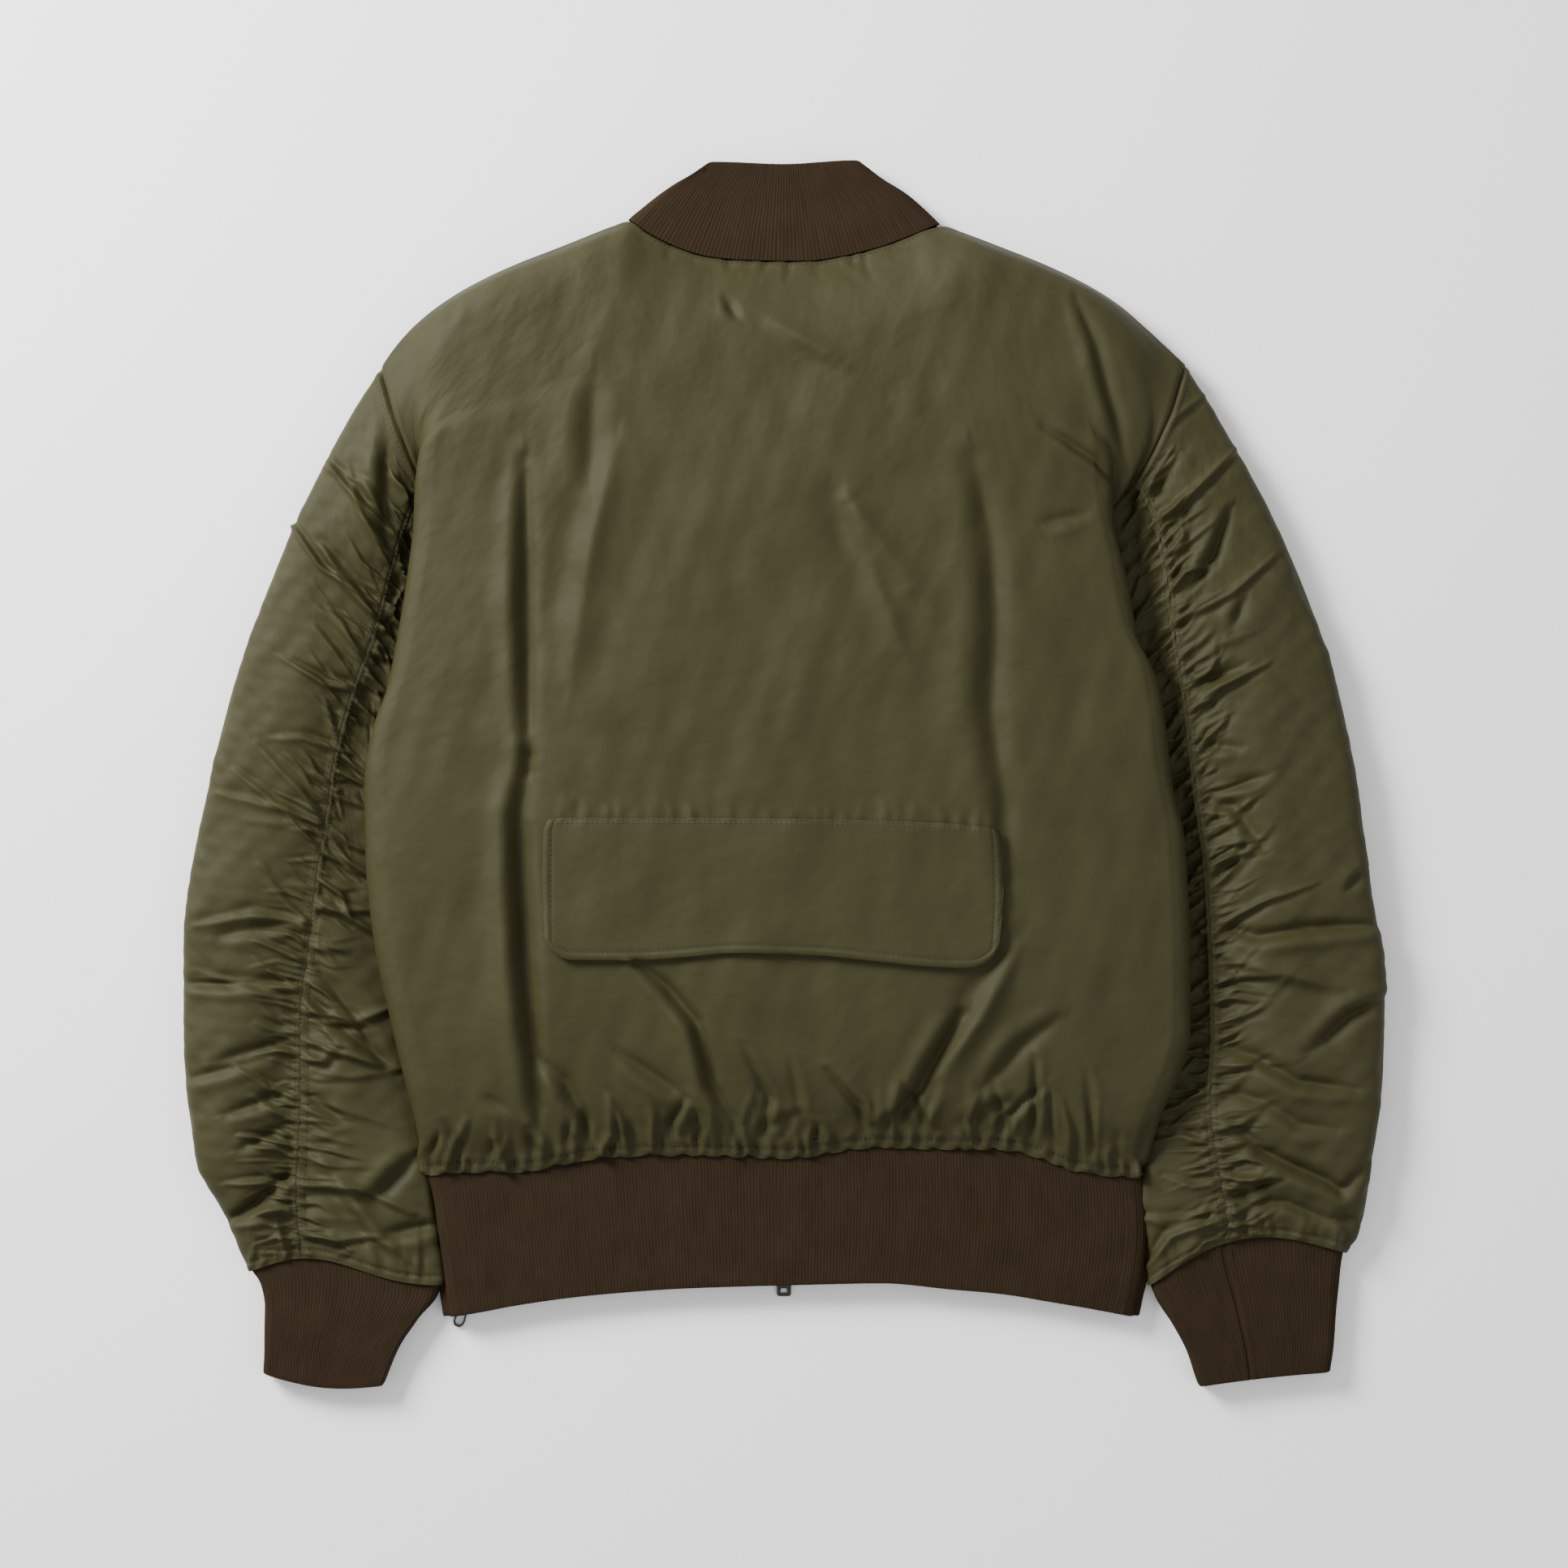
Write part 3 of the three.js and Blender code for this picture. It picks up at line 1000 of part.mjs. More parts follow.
// A flat strip through rows of its two edges' x, its y and its underside's height.
function tape(rows) {
  const points = [];
  for (const { x0, x1, y, z } of rows) {
    points.push(v3(x0, y, z), v3(x1, y, z), v3(x1, y, z + TAPE), v3(x0, y, z + TAPE));
  }
  const faces = [];
  for (let k = 0; k + 1 < rows.length; k += 1) {
    for (let i = 0; i < 4; i += 1) {
      const a = 4 * k + i;
      const b = 4 * k + ((i + 1) % 4);
      faces.push([a, b, b + 4], [a, b + 4, a + 4]);
    }
  }
  const end = 4 * (rows.length - 1);
  faces.push([0, 2, 1], [0, 3, 2], [end, end + 1, end + 2], [end, end + 2, end + 3]);
  return solid(points, faces);
}

function frontTape(side) {
  const zip = FRONT_ZIP;
  const ys = [zip.top, ...spread(zip.rise, zip.lifted, 6), zip.bottom];
  return tape(ys.map((y) => {
    const up = ease((zip.rise - y) / (zip.rise - zip.lifted));
    const edge = mix(zip.edgeTop, zip.edgeLow, up);
    return { x0: SIDE[side] * TAPE_SPLIT, x1: SIDE[side] * edge, y, z: mix(TAPE_LOW, TAPE_LIFT, up) };
  }));
}

// Middle of the side zip's opening in the hem band, station by station.
function sideZipLine(station) {
  const ring = hemPoint(station, 'back', SIDE_ZIP.ring).p;
  const front = hemPoint(station, 'left', SIDE_ZIP.front).p;
  return ring.lerp(front, 0.5);
}

function sideTape(sign) {
  const stations = [0.1, 0.2, 0.4, 0.55, 0.65, 0.75, 0.85, 1];
  return tape(stations.map((station) => {
    const { x, y } = sideZipLine(station);
    const up = ease((station - 0.2) / 0.5);
    return { x0: x + sign * TAPE_SPLIT, x1: x + sign * SIDE_ZIP.edge, y, z: mix(0.8, TAPE_LIFT, up) };
  }));
}

function extrude(outline, holes, depth) {
  const shape = new THREE.Shape(outline.map(([x, y]) => new THREE.Vector2(x, y)));
  for (const hole of holes) shape.holes.push(new THREE.Path(hole.map(([x, y]) => new THREE.Vector2(x, y))));
  return new THREE.ExtrudeGeometry(shape, { depth, bevelEnabled: false, steps: 1 });
}

function toBody(geometry) {
  const plain = geometry.index ? geometry.toNonIndexed() : geometry;
  const count = plain.attributes.position.count;
  const mesh = new Mesh({
    numProp: 3,
    vertProperties: Float32Array.from(plain.attributes.position.array),
    triVerts: Uint32Array.from({ length: count }, (_, i) => i),
  });
  mesh.merge();
  return new Manifold(mesh);
}

function fromBody(body) {
  const mesh = body.getMesh();
  const geometry = new THREE.BufferGeometry();
  geometry.setAttribute('position', new THREE.Float32BufferAttribute(mesh.vertProperties, 3));
  geometry.setIndex(Array.from(mesh.triVerts));
  geometry.computeVertexNormals();
  return geometry;
}

// Joins closed geometries into one body.
function join(list) {
  return fromBody(list.map(toBody).reduce((a, b) => a.add(b)));
}

// Cuts a square notch out of a piece round a corner where three seams meet, and keeps the piece itself.
function notch(piece, corner, half) {
  const cutter = Manifold.cube([2 * half, 2 * half, 2 * half], true).translate(corner.toArray());
  const body = toBody(piece).subtract(cutter);
  return fromBody(body.decompose().sort((a, b) => b.volume() - a.volume())[0]);
}

// Slider in its own place: y along the zip with 0 at the middle, the ring pivotDown below that and turned by
// turn degrees.
function zipSlider(half, long, pivotDown, turn) {
  const low = SLIDER_BASE;
  const lowTop = low + SLIDER_PLATE;
  const high = TAPE_LIFT + TAPE + SLIDER_CLEAR;
  const top = high + SLIDER_PLATE;
  const web = TAPE_SPLIT - SLIDER_CLEAR;
  const cut = PLATE_CORNER;
  const body = extrude([
    [-half + cut, low], [half - cut, low], [half, low + cut], [half, lowTop], [web, lowTop], [web, high],
    [half, high], [half, top - cut], [half - cut, top], [-half + cut, top], [-half, top - cut], [-half, high],
    [-web, high], [-web, lowTop], [-half, lowTop], [-half, low + cut],
  ], [], long);
  body.rotateX(Math.PI / 2);
  body.translate(0, long / 2, 0);
  const foot = low + 0.3;
  const ring = [[-BAIL_R, foot]];
  for (const a of spread(-Math.PI, 0, 9)) ring.push([BAIL_R * Math.cos(a), PIVOT_Z + BAIL_R * Math.sin(a)]);
  ring.push([BAIL_R, foot], [BAIL_HOLE, foot]);
  for (const a of spread(0, -Math.PI, 9)) ring.push([BAIL_HOLE * Math.cos(a), PIVOT_Z + BAIL_HOLE * Math.sin(a)]);
  ring.push([-BAIL_HOLE, foot]);
  const bail = extrude(ring, [], BAIL_WIDE);
  bail.translate(0, 0, -BAIL_WIDE / 2);
  bail.applyMatrix4(new THREE.Matrix4().makeBasis(v3(0, 1, 0), v3(0, 0, 1), v3(1, 0, 0)));
  bail.rotateZ(THREE.MathUtils.degToRad(turn));
  bail.translate(0, -pivotDown, 0);
  return join([body, bail]);
}

// Pull tab: x across, y along with 0 at the pivot, its upper end closed by the bar.
function pullTab(outline, holes, barHalf) {
  const plate = extrude(outline, holes, PULL_THICK);
  plate.translate(0, 0, -PULL_THICK / 2);
  const bar = new THREE.CylinderGeometry(BAR_R, BAR_R, barHalf * 2, 10);
  bar.rotateZ(Math.PI / 2);
  const tab = join([plate, bar]);
  tab.rotateX(THREE.MathUtils.degToRad(PULL_TILT));
  return tab;
}

const FRONT_PULL = {
  outline: [
    [1.8, 0.2], [1.8, -3.2], [-1.8, -3.2], [-1.8, 0.2], [-3.2, 0.2], [-3.4, -4], [-4.65, -9], [-4.65, -17.4], [-4.2, -18.5],
    [-3.1, -19], [3.1, -19], [4.2, -18.5], [4.65, -17.4], [4.65, -9], [3.4, -4], [3.2, 0.2],
  ],
  holes: [[[-1.9, -13.8], [1.9, -13.8], [2.6, -16.9], [-2.6, -16.9]]],
};
const SIDE_PULL = {
  outline: [
    [1.8, 0.2], [1.8, -3.2], [2.5, -8], [2.3, -10.2], [1.2, -11.6], [-1.2, -11.6], [-2.3, -10.2], [-2.5, -8],
    [-1.8, -3.2], [-1.8, 0.2], [-3.1, 0.2], [-3.1, -3.2], [-3.8, -8], [-3.4, -11], [-1.8, -13], [1.8, -13],
    [3.4, -11], [3.8, -8], [3.1, -3.2], [3.1, 0.2],
  ],
  holes: [],
};

const group = new THREE.Group();
group.name = 'bomber_jacket';
function add(name, geometry, look) {
  const mesh = new THREE.Mesh(geometry, new THREE.MeshStandardMaterial(look));
  mesh.name = name;
  group.add(mesh);
}

let neckBand = wall(collar());
add('back_panel', wall(backPanel()), OLIVE);
for (const side of ['left', 'right']) {
  const pit = armhole(side, INNER_KNOT).p;
  neckBand = notch(neckBand, bodyTop(side, 1, false).p, NECK_NOTCH);
  add(`front_panel_${side}`, notch(wall(frontPanel(side)), pit, FRONT_NOTCH), OLIVE_INSIDE);
  add(`sleeve_${side}_outer`, wall(sleevePanel(side, 'outer')), OLIVE);
  add(`sleeve_${side}_under`, notch(wall(sleevePanel(side, 'under')), pit, NOTCH), OLIVE);
  add(`cuff_${side}`, wall(cuff(side), true), KNIT);
}
add('collar', neckBand, KNIT);
add('hem_band', wall(hemBand()), KNIT);
add('hem_front_left', wall(hemFront()), KNIT);
add('pocket_flap', wall(pocketFlap()), OLIVE);

for (const side of ['left', 'right']) add(`front_zip_tape_${side}`, frontTape(side), TAPE_CLOTH);
const frontSlider = zipSlider(FRONT_ZIP.slider, FRONT_ZIP.long, FRONT_ZIP.y - FRONT_ZIP.pivot, 0);
frontSlider.translate(0, FRONT_ZIP.y, 0);
add('front_zip_slider', frontSlider, METAL);
const frontPull = pullTab(FRONT_PULL.outline, FRONT_PULL.holes, 3.2);
frontPull.translate(0, FRONT_ZIP.pivot, PIVOT_Z);
add('front_zip_pull', frontPull, METAL);

add('side_zip_tape_outer', sideTape(-1), TAPE_CLOTH);
add('side_zip_tape_inner', sideTape(1), TAPE_CLOTH);
const sideEnd = sideZipLine(1);
const sideUp = sideZipLine(0.85);
const sideTurn = Math.atan2(sideEnd.x - sideUp.x, sideUp.y - sideEnd.y);
const sideMiddle = sideEnd.clone().lerp(sideUp, SIDE_ZIP.long * 0.42 / sideEnd.distanceTo(sideUp));
const sideSlider = zipSlider(SIDE_ZIP.slider, SIDE_ZIP.long, SIDE_ZIP.pivotDown, SIDE_PULL_TURN - THREE.MathUtils.radToDeg(sideTurn));
sideSlider.rotateZ(sideTurn);
sideSlider.translate(sideMiddle.x, sideMiddle.y, 0);
add('side_zip_slider', sideSlider, METAL);
const sidePull = pullTab(SIDE_PULL.outline, SIDE_PULL.holes, 3.1);
sidePull.rotateZ(THREE.MathUtils.degToRad(SIDE_PULL_TURN));
sidePull.translate(
  sideMiddle.x + SIDE_ZIP.pivotDown * Math.sin(sideTurn),
  sideMiddle.y - SIDE_ZIP.pivotDown * Math.cos(sideTurn),
  PIVOT_Z,
);
add('side_zip_pull', sidePull, METAL);

export default group;
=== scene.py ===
import math

import bmesh
import bpy
import numpy as np
from mathutils import Matrix, Vector
from mathutils.bvhtree import BVHTree


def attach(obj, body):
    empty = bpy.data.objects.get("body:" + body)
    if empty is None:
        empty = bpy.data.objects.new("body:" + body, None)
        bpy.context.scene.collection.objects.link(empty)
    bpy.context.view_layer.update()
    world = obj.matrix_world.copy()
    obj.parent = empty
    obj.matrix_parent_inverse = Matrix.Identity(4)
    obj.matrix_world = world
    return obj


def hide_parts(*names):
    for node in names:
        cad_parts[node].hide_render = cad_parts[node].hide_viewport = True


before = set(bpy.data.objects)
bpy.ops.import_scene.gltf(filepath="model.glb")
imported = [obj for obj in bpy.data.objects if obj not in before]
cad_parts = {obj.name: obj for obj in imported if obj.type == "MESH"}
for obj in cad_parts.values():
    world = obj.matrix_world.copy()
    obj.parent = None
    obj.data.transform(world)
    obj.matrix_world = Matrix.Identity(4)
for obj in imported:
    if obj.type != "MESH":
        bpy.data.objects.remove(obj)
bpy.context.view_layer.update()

# Bomber jacket laid face down, seen straight from above. Tables are in millimetres, meshes in metres.

# Camera, floor and light: the view is the photo's own, from straight above, with a large soft light at the
# upper left and a weaker one at the right.
camera = bpy.data.objects.new("camera", bpy.data.cameras.new("camera"))
camera.data.lens = 85
camera.data.sensor_width = 36
camera.location = (0, -0.0066, 2.433)
bpy.context.scene.collection.objects.link(camera)
bpy.context.scene.camera = camera


def placed(name, mesh, look):
    """An object at the origin from a finished bmesh, with its material."""
    made = bpy.data.objects.new(name, bpy.data.meshes.new(name))
    mesh.to_mesh(made.data)
    mesh.free()
    made.data.materials.append(look)
    bpy.context.scene.collection.objects.link(made)
    return made


pale = bpy.data.materials.new("floor")
pale.use_nodes = True
pale.node_tree.nodes["Principled BSDF"].inputs["Base Color"].default_value = (0.93, 0.93, 0.93, 1)
pale.node_tree.nodes["Principled BSDF"].inputs["Roughness"].default_value = 0.9
floor_mesh = bmesh.new()
bmesh.ops.create_grid(floor_mesh, x_segments=2, y_segments=2, size=4)
floor = placed("floor", floor_mesh, pale)
floor.location = (0, 0, -0.0005)

for name, place, size, power in (
    ("key", (-1.6, 1.25, 1.3), 0.9, 150),
    ("fill", (1.5, -0.6, 2.0), 1.8, 12),
):
    light = bpy.data.objects.new(name, bpy.data.lights.new(name, "AREA"))
    light.data.size = size
    light.data.energy = power
    light.location = place
    light.rotation_euler = (Vector((0, 0, 0)) - Vector(place)).to_track_quat("-Z", "Y").to_euler()
    bpy.context.scene.collection.objects.link(light)
world = bpy.context.scene.world or bpy.data.worlds.new("world")
bpy.context.scene.world = world
world.use_nodes = True
world.node_tree.nodes["Background"].inputs[0].default_value = (1, 1, 1, 1)
world.node_tree.nodes["Background"].inputs[1].default_value = 0.78

# Back panel: one piece of satin nylon from the shoulders to the hem rib, gathered at the rib. It is sewn to
# the fronts under its round sides, to the sleeves at the armholes and to the collar at the neck.


def mix(a, b, t):
    """The value at part t of the way from a to b."""
    return a + (b - a) * t


def ease(t):
    """Part t of the way, from 0 to 1, with a soft start and a soft end."""
    t = np.clip(t, 0, 1)
    return t * t * (3 - 2 * t)


def read(rows, at):
    """The columns of a table at a place, smooth between its rows and never beyond the two beside it."""
    rows = np.asarray(rows, float)
    place = rows[:, 0]
    values = rows[:, 1:]
    at = min(max(at, place[0]), place[-1])
    last = len(place) - 1
    i = min(int(np.searchsorted(place, at, side="right")) - 1, last - 1)
    slope = np.diff(values, axis=0) / np.diff(place)[:, None]

    def tangent(k):
        if k in (0, last):
            return slope[min(k, last - 1)]
        product = slope[k - 1] * slope[k]
        total = slope[k - 1] + slope[k]
        return np.where(product <= 0, 0, 2 * product / np.where(total == 0, 1, total))

    span = place[i + 1] - place[i]
    t = (at - place[i]) / span
    u = 1 - t
    found = values[i] * u * u * (1 + 2 * t) + values[i + 1] * t * t * (3 - 2 * t)
    found = found + span * t * u * (tangent(i) * u - tangent(i + 1) * t)
    return float(found[0]) if len(found) == 1 else found


def curve(points, place, closed):
    """A smooth line through points, at a place counted from point to point."""
    points = np.asarray(points, float)
    count = len(points)
    if closed:
        i = int(math.floor(place)) % count
        t = place - math.floor(place)
        p0, p1, p2, p3 = (points[(i + k) % count] for k in (-1, 0, 1, 2))
    else:
        place = min(max(place, 0), count - 1)
        i = min(int(place), count - 2)
        t = place - i
        p1, p2 = points[i], points[i + 1]
        p0 = points[i - 1] if i > 0 else 2 * p1 - p2
        p3 = points[i + 2] if i + 2 < count else 2 * p2 - p1
    d0, d1, d2 = (max(1e-3, math.sqrt(math.dist(a, b))) for a, b in ((p0, p1), (p1, p2), (p2, p3)))
    t1 = ((p1 - p0) / d0 - (p2 - p0) / (d0 + d1) + (p2 - p1) / d1) * d1
    t2 = ((p2 - p1) / d1 - (p3 - p1) / (d1 + d2) + (p3 - p2) / d2) * d1
    return p1 + t1 * t + (3 * (p2 - p1) - 2 * t1 - t2) * t * t + (2 * (p1 - p2) + t1 + t2) * t**3


SIGN = {"left": -1, "right": 1}
INNER_KNOT = 9      # the sleeve section's knot at its inner edge
RING_KNOTS = 17     # knots all round the sleeve's section
ROUND_PART = 14     # width of the sleeve's rounding beside its inner edge

# A sleeve's sections from the armhole to the cuff: place, outer end's x and y, inner end's x and y, the
# seam's share of the width, outer end's height and radius, heights of the crown, of the seam and of the inner
# part, inner end's height and radius, and how far the section bows towards the cuff.
SLEEVE_TABLE = {
    "left": [
        (0, 263.9, 264.4, 223.1, 166.2, 0.75, 10, 10, 27, 17, 12.5, 9, 2.4, -3.5),
        (0.02, 270, 255.5, 229, 158, 0.745, 10.4, 10.4, 26.5, 15.5, 9.7, 5, 4, -2.5),
        (0.05, 279.5, 241, 234, 145, 0.735, 11, 11, 27, 16.5, 11, 6, 4.8, -1),
        (0.1, 295.5, 212.5, 238, 120, 0.72, 12, 12, 28, 18.5, 12, 6, 5, 0),
        (0.2, 321.7, 158.5, 243, 68, 0.696, 12.5, 12.5, 27.5, 20.5, 14, 6, 5.5, 0),
        (0.3, 344.5, 102, 253.5, 18, 0.666, 12.5, 12.5, 27, 20, 15, 6, 5.5, 0),
        (0.4, 362, 50, 264, -32, 0.677, 12.5, 12.5, 27, 19.5, 15, 6, 5.5, 0),
        (0.5, 376, -8, 261.3, -82, 0.637, 12.5, 12.5, 27, 20, 17, 6, 5.5, 0),
        (0.6, 388, -68, 255.5, -132, 0.596, 12.5, 12.5, 27, 20, 19, 6, 5.5, 0),
        (0.7, 392.7, -129, 243.3, -182, 0.519, 12.5, 12.5, 27, 20, 20, 6, 5.5, 0),
        (0.8, 391.8, -190, 238.5, -225, 0.499, 12.5, 12.5, 26, 20, 20, 6.4, 6, 0),
        (0.9, 384, -250, 230, -272, 0.43, 12, 12, 25, 20, 20, 8, 7.5, 2),
        (0.96, 363.5, -294, 225.5, -306, 0.33, 10.5, 10.5, 22, 19.5, 19.5, 8.5, 8.3, 6),
        (1, 350.3, -325.7, 222.5, -334, 0.275, 8.5, 8.5, 17, 17, 17, 8.5, 8.5, 9),
    ],
    "right": [
        (0, 262, 267.5, 207, 165, 0.72, 10, 10, 27, 18, 12.5, 9, 2.4, -8),
        (0.02, 269, 257, 212, 157, 0.69, 10.4, 10.4, 26.5, 18, 10, 5, 4, -6),
        (0.05, 279, 241, 215, 144, 0.66, 11, 11, 27, 19, 11.5, 6, 4.8, -3),
        (0.1, 294.7, 213.9, 216, 120, 0.632, 12, 12, 28, 20, 12.5, 6, 5, 0),
        (0.2, 322.8, 160.9, 223, 68, 0.69, 12.5, 12.5, 27.5, 20.5, 14, 6, 5.5, 0),
        (0.3, 346.5, 104, 237.5, 20, 0.765, 12.5, 12.5, 27.5, 18.5, 14, 6, 5.5, 0),
        (0.4, 364, 48, 244.5, -30, 0.795, 12.5, 12.5, 27, 17.5, 13.5, 6, 5.5, 0),
        (0.5, 375.5, -13, 253, -80, 0.81, 12.5, 12.5, 27, 16.5, 13, 6, 5.5, 0),
        (0.6, 383, -73, 255, -130, 0.815, 12.5, 12.5, 27, 16.5, 13, 6, 5.5, 0),
        (0.7, 393, -133, 254, -180, 0.81, 12.5, 12.5, 27, 17, 13.5, 6, 5.5, 0),
        (0.8, 391.8, -194, 242, -225, 0.758, 12.5, 12.5, 26, 18, 15, 6.4, 6, 0),
        (0.9, 384.5, -252, 232.5, -275, 0.655, 12, 12, 25, 19.5, 19, 8, 7.5, 6),
        (0.96, 379, -290, 237, -314, 0.62, 10.5, 10.5, 22, 19.5, 19.5, 8.5, 8.3, 15),
        (1, 368.4, -313.5, 238, -335, 0.6, 8.5, 8.5, 17, 17, 17, 8.5, 8.5, 21),
    ],
}
section_cache = {}


def sleeve_section(side, at):
    """The sleeve's section at a place from the armhole to the cuff: its ends on the plan and its outline."""
    key = (side, at)
    if key not in section_cache:
        row = read(SLEEVE_TABLE[side], at)
        ox, oy, ix, iy, seam, oz, o_round, crown, valley, inner, iz, i_round, bow = row
        outer_end = np.array([SIGN[side] * ox, oy])
        inner_end = np.array([SIGN[side] * ix, iy])
        width = math.dist(outer_end, inner_end)
        seam = seam * width
        rest = width - ROUND_PART - seam
        bend = math.sqrt(0.5)
        outline = [
            (0, oz), (o_round * (1 - bend), oz + o_round * bend), (o_round, oz + o_round),
            (mix(o_round, seam, 0.5), crown), (seam, valley), (seam + rest * 0.5, inner),
            (width - ROUND_PART, mix(iz + i_round, inner, 0.3)), (width - i_round, iz + i_round),
            (width - i_round * (1 - bend), iz + i_round * bend), (width, iz),
            (width - i_round * (1 - bend), iz - i_round * bend), (width - i_round, max(0, iz - i_round)),
            (width - i_round - 18, 0), (width * 0.5, 0), (o_round + 12, 0), (o_round, oz - o_round),
            (o_round * (1 - bend), oz - o_round * bend),
        ]
        section_cache[key] = (outer_end, (inner_end - outer_end) / width, width, np.array(outline), bow)
    return section_cache[key]


def sleeve_point(side, at, knot):
    """A point of the sleeve's tube: at from the armhole to the cuff, knot round it from the outer edge."""
    outer_end, along, width, outline, bow = sleeve_section(side, at)
    d, z = curve(outline, knot, True)
    part = min(1, max(0, d / width))
    below = knot % RING_KNOTS > INNER_KNOT
    bow = 0 if below and at < 0.5 else bow * math.sin(math.pi * part)
    skew = 0 if side == "right" else 5 * ease((at - 0.85) / 0.15) * math.sin(2 * math.pi * part)
    across = np.array([-along[1], along[0]]) * -SIGN[side] * (bow + skew)
    return np.array([*(outer_end + along * d + across), max(0, z)])


PIT = 0.187         # place of the armpits down the body's border
HEM_CORNER = -262   # y of the shell's lower corners
SHOULDER_END = 264  # y where the shoulder seams meet the armholes

# The body's round side above the armpit: place, then the distance out and the height of its rim, edge, brow
# and crown. Below the armpit: place, distance out of the edge, its height and its radius.
BODY_HIGH = {
    "left": [
        (0, 246, 24, 226, 28, 204, 31, 180, 33),
        (0.035, 243, 27, 227, 33, 209, 35, 187, 36),
        (0.07, 239, 28.5, 228.5, 34, 214, 36, 195, 37),
        (0.123, 237, 25, 233, 31, 223, 35.5, 206, 37.5),
        (0.155, 236.5, 21, 236, 28, 229, 35, 214, 37.5),
    ],
    "right": [
        (0, 248, 24, 228, 28, 206, 31, 184, 33),
        (0.035, 243, 27, 228, 33, 212, 35, 192, 36),
        (0.07, 239, 28.5, 226, 34, 213, 36, 196, 37),
        (0.123, 229, 26, 221, 32, 211, 36, 196, 37.5),
        (0.155, 220, 23, 216, 29, 209, 34, 197, 37),
    ],
}
BODY_LOW = {
    "left": [
        (0.187, 238, 26, 12),
        (0.22, 240.2, 25, 12),
        (0.269, 242.2, 24, 12),
        (0.347, 248, 24, 12),
        (0.445, 258.6, 24, 12),
        (0.499, 269, 24, 12),
        (0.55, 273, 24, 12),
        (0.63, 272.4, 24, 12),
        (0.73, 267.1, 24, 12),
        (0.81, 257.6, 24, 12),
        (0.88, 248.5, 22.5, 12),
        (0.94, 240.5, 18, 12),
        (0.975, 237.6, 12.5, 11),
        (1, 236.4, 9, 9),
    ],
    "right": [
        (0.187, 214, 27, 12),
        (0.239, 214.7, 24.3, 12),
        (0.318, 224.2, 24, 12),
        (0.384, 231.1, 24, 12),
        (0.435, 244, 24, 12),
        (0.477, 248.3, 24, 12),
        (0.552, 253.3, 24, 12),
        (0.611, 260.8, 24, 12),
        (0.751, 264.5, 24, 12),
        (0.832, 264.5, 24, 12),
        (0.88, 258, 22.5, 12),
        (0.94, 243.5, 18, 12),
        (0.975, 238.5, 12.5, 11),
        (1, 236.4, 9, 9),
    ],
}

# Places and heights of the back's middle, then the seams on the plan: x or the distance out, and y.
DOME = [(0, 35), (0.1, 39), (0.3, 43), (0.55, 44), (0.78, 42), (0.88, 38), (0.94, 32), (0.975, 24), (1, 18)]
SHOULDER = {
    "left": [
        (102, 362.8), (120, 355.8), (143, 346.4), (176.5, 333.1), (204, 319.9), (225.8, 306.6),
        (242.2, 293.4), (253.9, 280.1), (263.9, 264.4),
    ],
    "right": [
        (102, 360), (120, 353.5), (138.3, 346.4), (171.2, 333.1), (198.2, 319.9), (219.4, 306.6),
        (235.3, 293.4), (250.2, 280.1), (262, 267.5),
    ],
}
NECK_OUT = 102
NECK_ROUND = 7.5
NECK_BACK = [
    (-102, 362.8), (-85.3, 351.7), (-66.8, 343.2), (-48.2, 337.9), (-29.7, 336.1), (0, 335.2), (17, 335.4),
    (35.5, 337.9), (63.6, 344.8), (82.2, 351.7), (102, 360),
]
NECK_FRONT = [(0, 293), (20, 294), (45, 301), (68, 314), (85, 330), (94.5, 345), (102, 362)]
HEM_EDGE = [
    (-240, -262), (-205, -259), (-170, -259), (-150, -255), (-110, -249), (-60, -248), (0, -250), (61, -243),
    (108, -244), (137, -244), (170, -251), (195, -260), (240, -263),
]


def body_side(side, at, front):
    """The body's border at a side: the armhole above the armpit, the side seam below."""
    if at < PIT:
        part = at / PIT
        knot = RING_KNOTS - (RING_KNOTS - INNER_KNOT) * part if front else INNER_KNOT * part
        return sleeve_point(side, 0, knot)
    edge, middle, roundness = read(BODY_LOW[side], at)
    pit = sleeve_point(side, 0, INNER_KNOT)
    down = ease((at - PIT) / 0.05)
    x = SIGN[side] * (edge - roundness)
    y = mix(pit[1], HEM_CORNER, (at - PIT) / (1 - PIT))
    return np.array([mix(pit[0], x, down), y, mix(pit[2], middle - roundness, down)])


def body_edge(side, at):
    """Named points of the round side: rim, edge, brow and crown, each its distance out and its height."""
    low = []
    for place, edge, middle, r in BODY_LOW[side]:
        crown_high = middle + r * mix(1.1, 1, ease((place - 0.9) / 0.1))
        low.append((place, edge - r * 0.29, middle - r * 0.71, edge, middle,
                    edge - r * 0.29, middle + r * 0.71, edge - r * 1.15, crown_high))
    return read(BODY_HIGH[side] + low, at).reshape(4, 2)


back_cache = {}


def back_section(knot, at):
    """Place across and height on the back's section, knot 0 at the left side to 12 at the right."""
    if at not in back_cache:
        sides = {side: (body_side(side, at, False), body_edge(side, at)) for side in SIGN}
        back_cache[at] = (sides, max(read(DOME, at), 0))
    sides, dome_high = back_cache[at]
    left, right = sides["left"][1][3], sides["right"][1][3]

    def dome(w):
        crown = mix(left[1], right[1], w)
        return crown + max(0, dome_high - crown) * (4 * w * (1 - w)) ** 0.8

    if 4 <= knot <= 8:
        w = (knot - 4) / 4
        return mix(-left[0], right[0], w), dome(w)
    side = "left" if knot < 4 else "right"
    border, edge = sides[side]
    points = [(abs(border[0]), border[2]), *edge, (edge[3][0] - 16, dome(16 / (left[0] + right[0])))]
    out, z = curve(points, knot if side == "left" else 12 - knot, False)
    return SIGN[side] * out, z


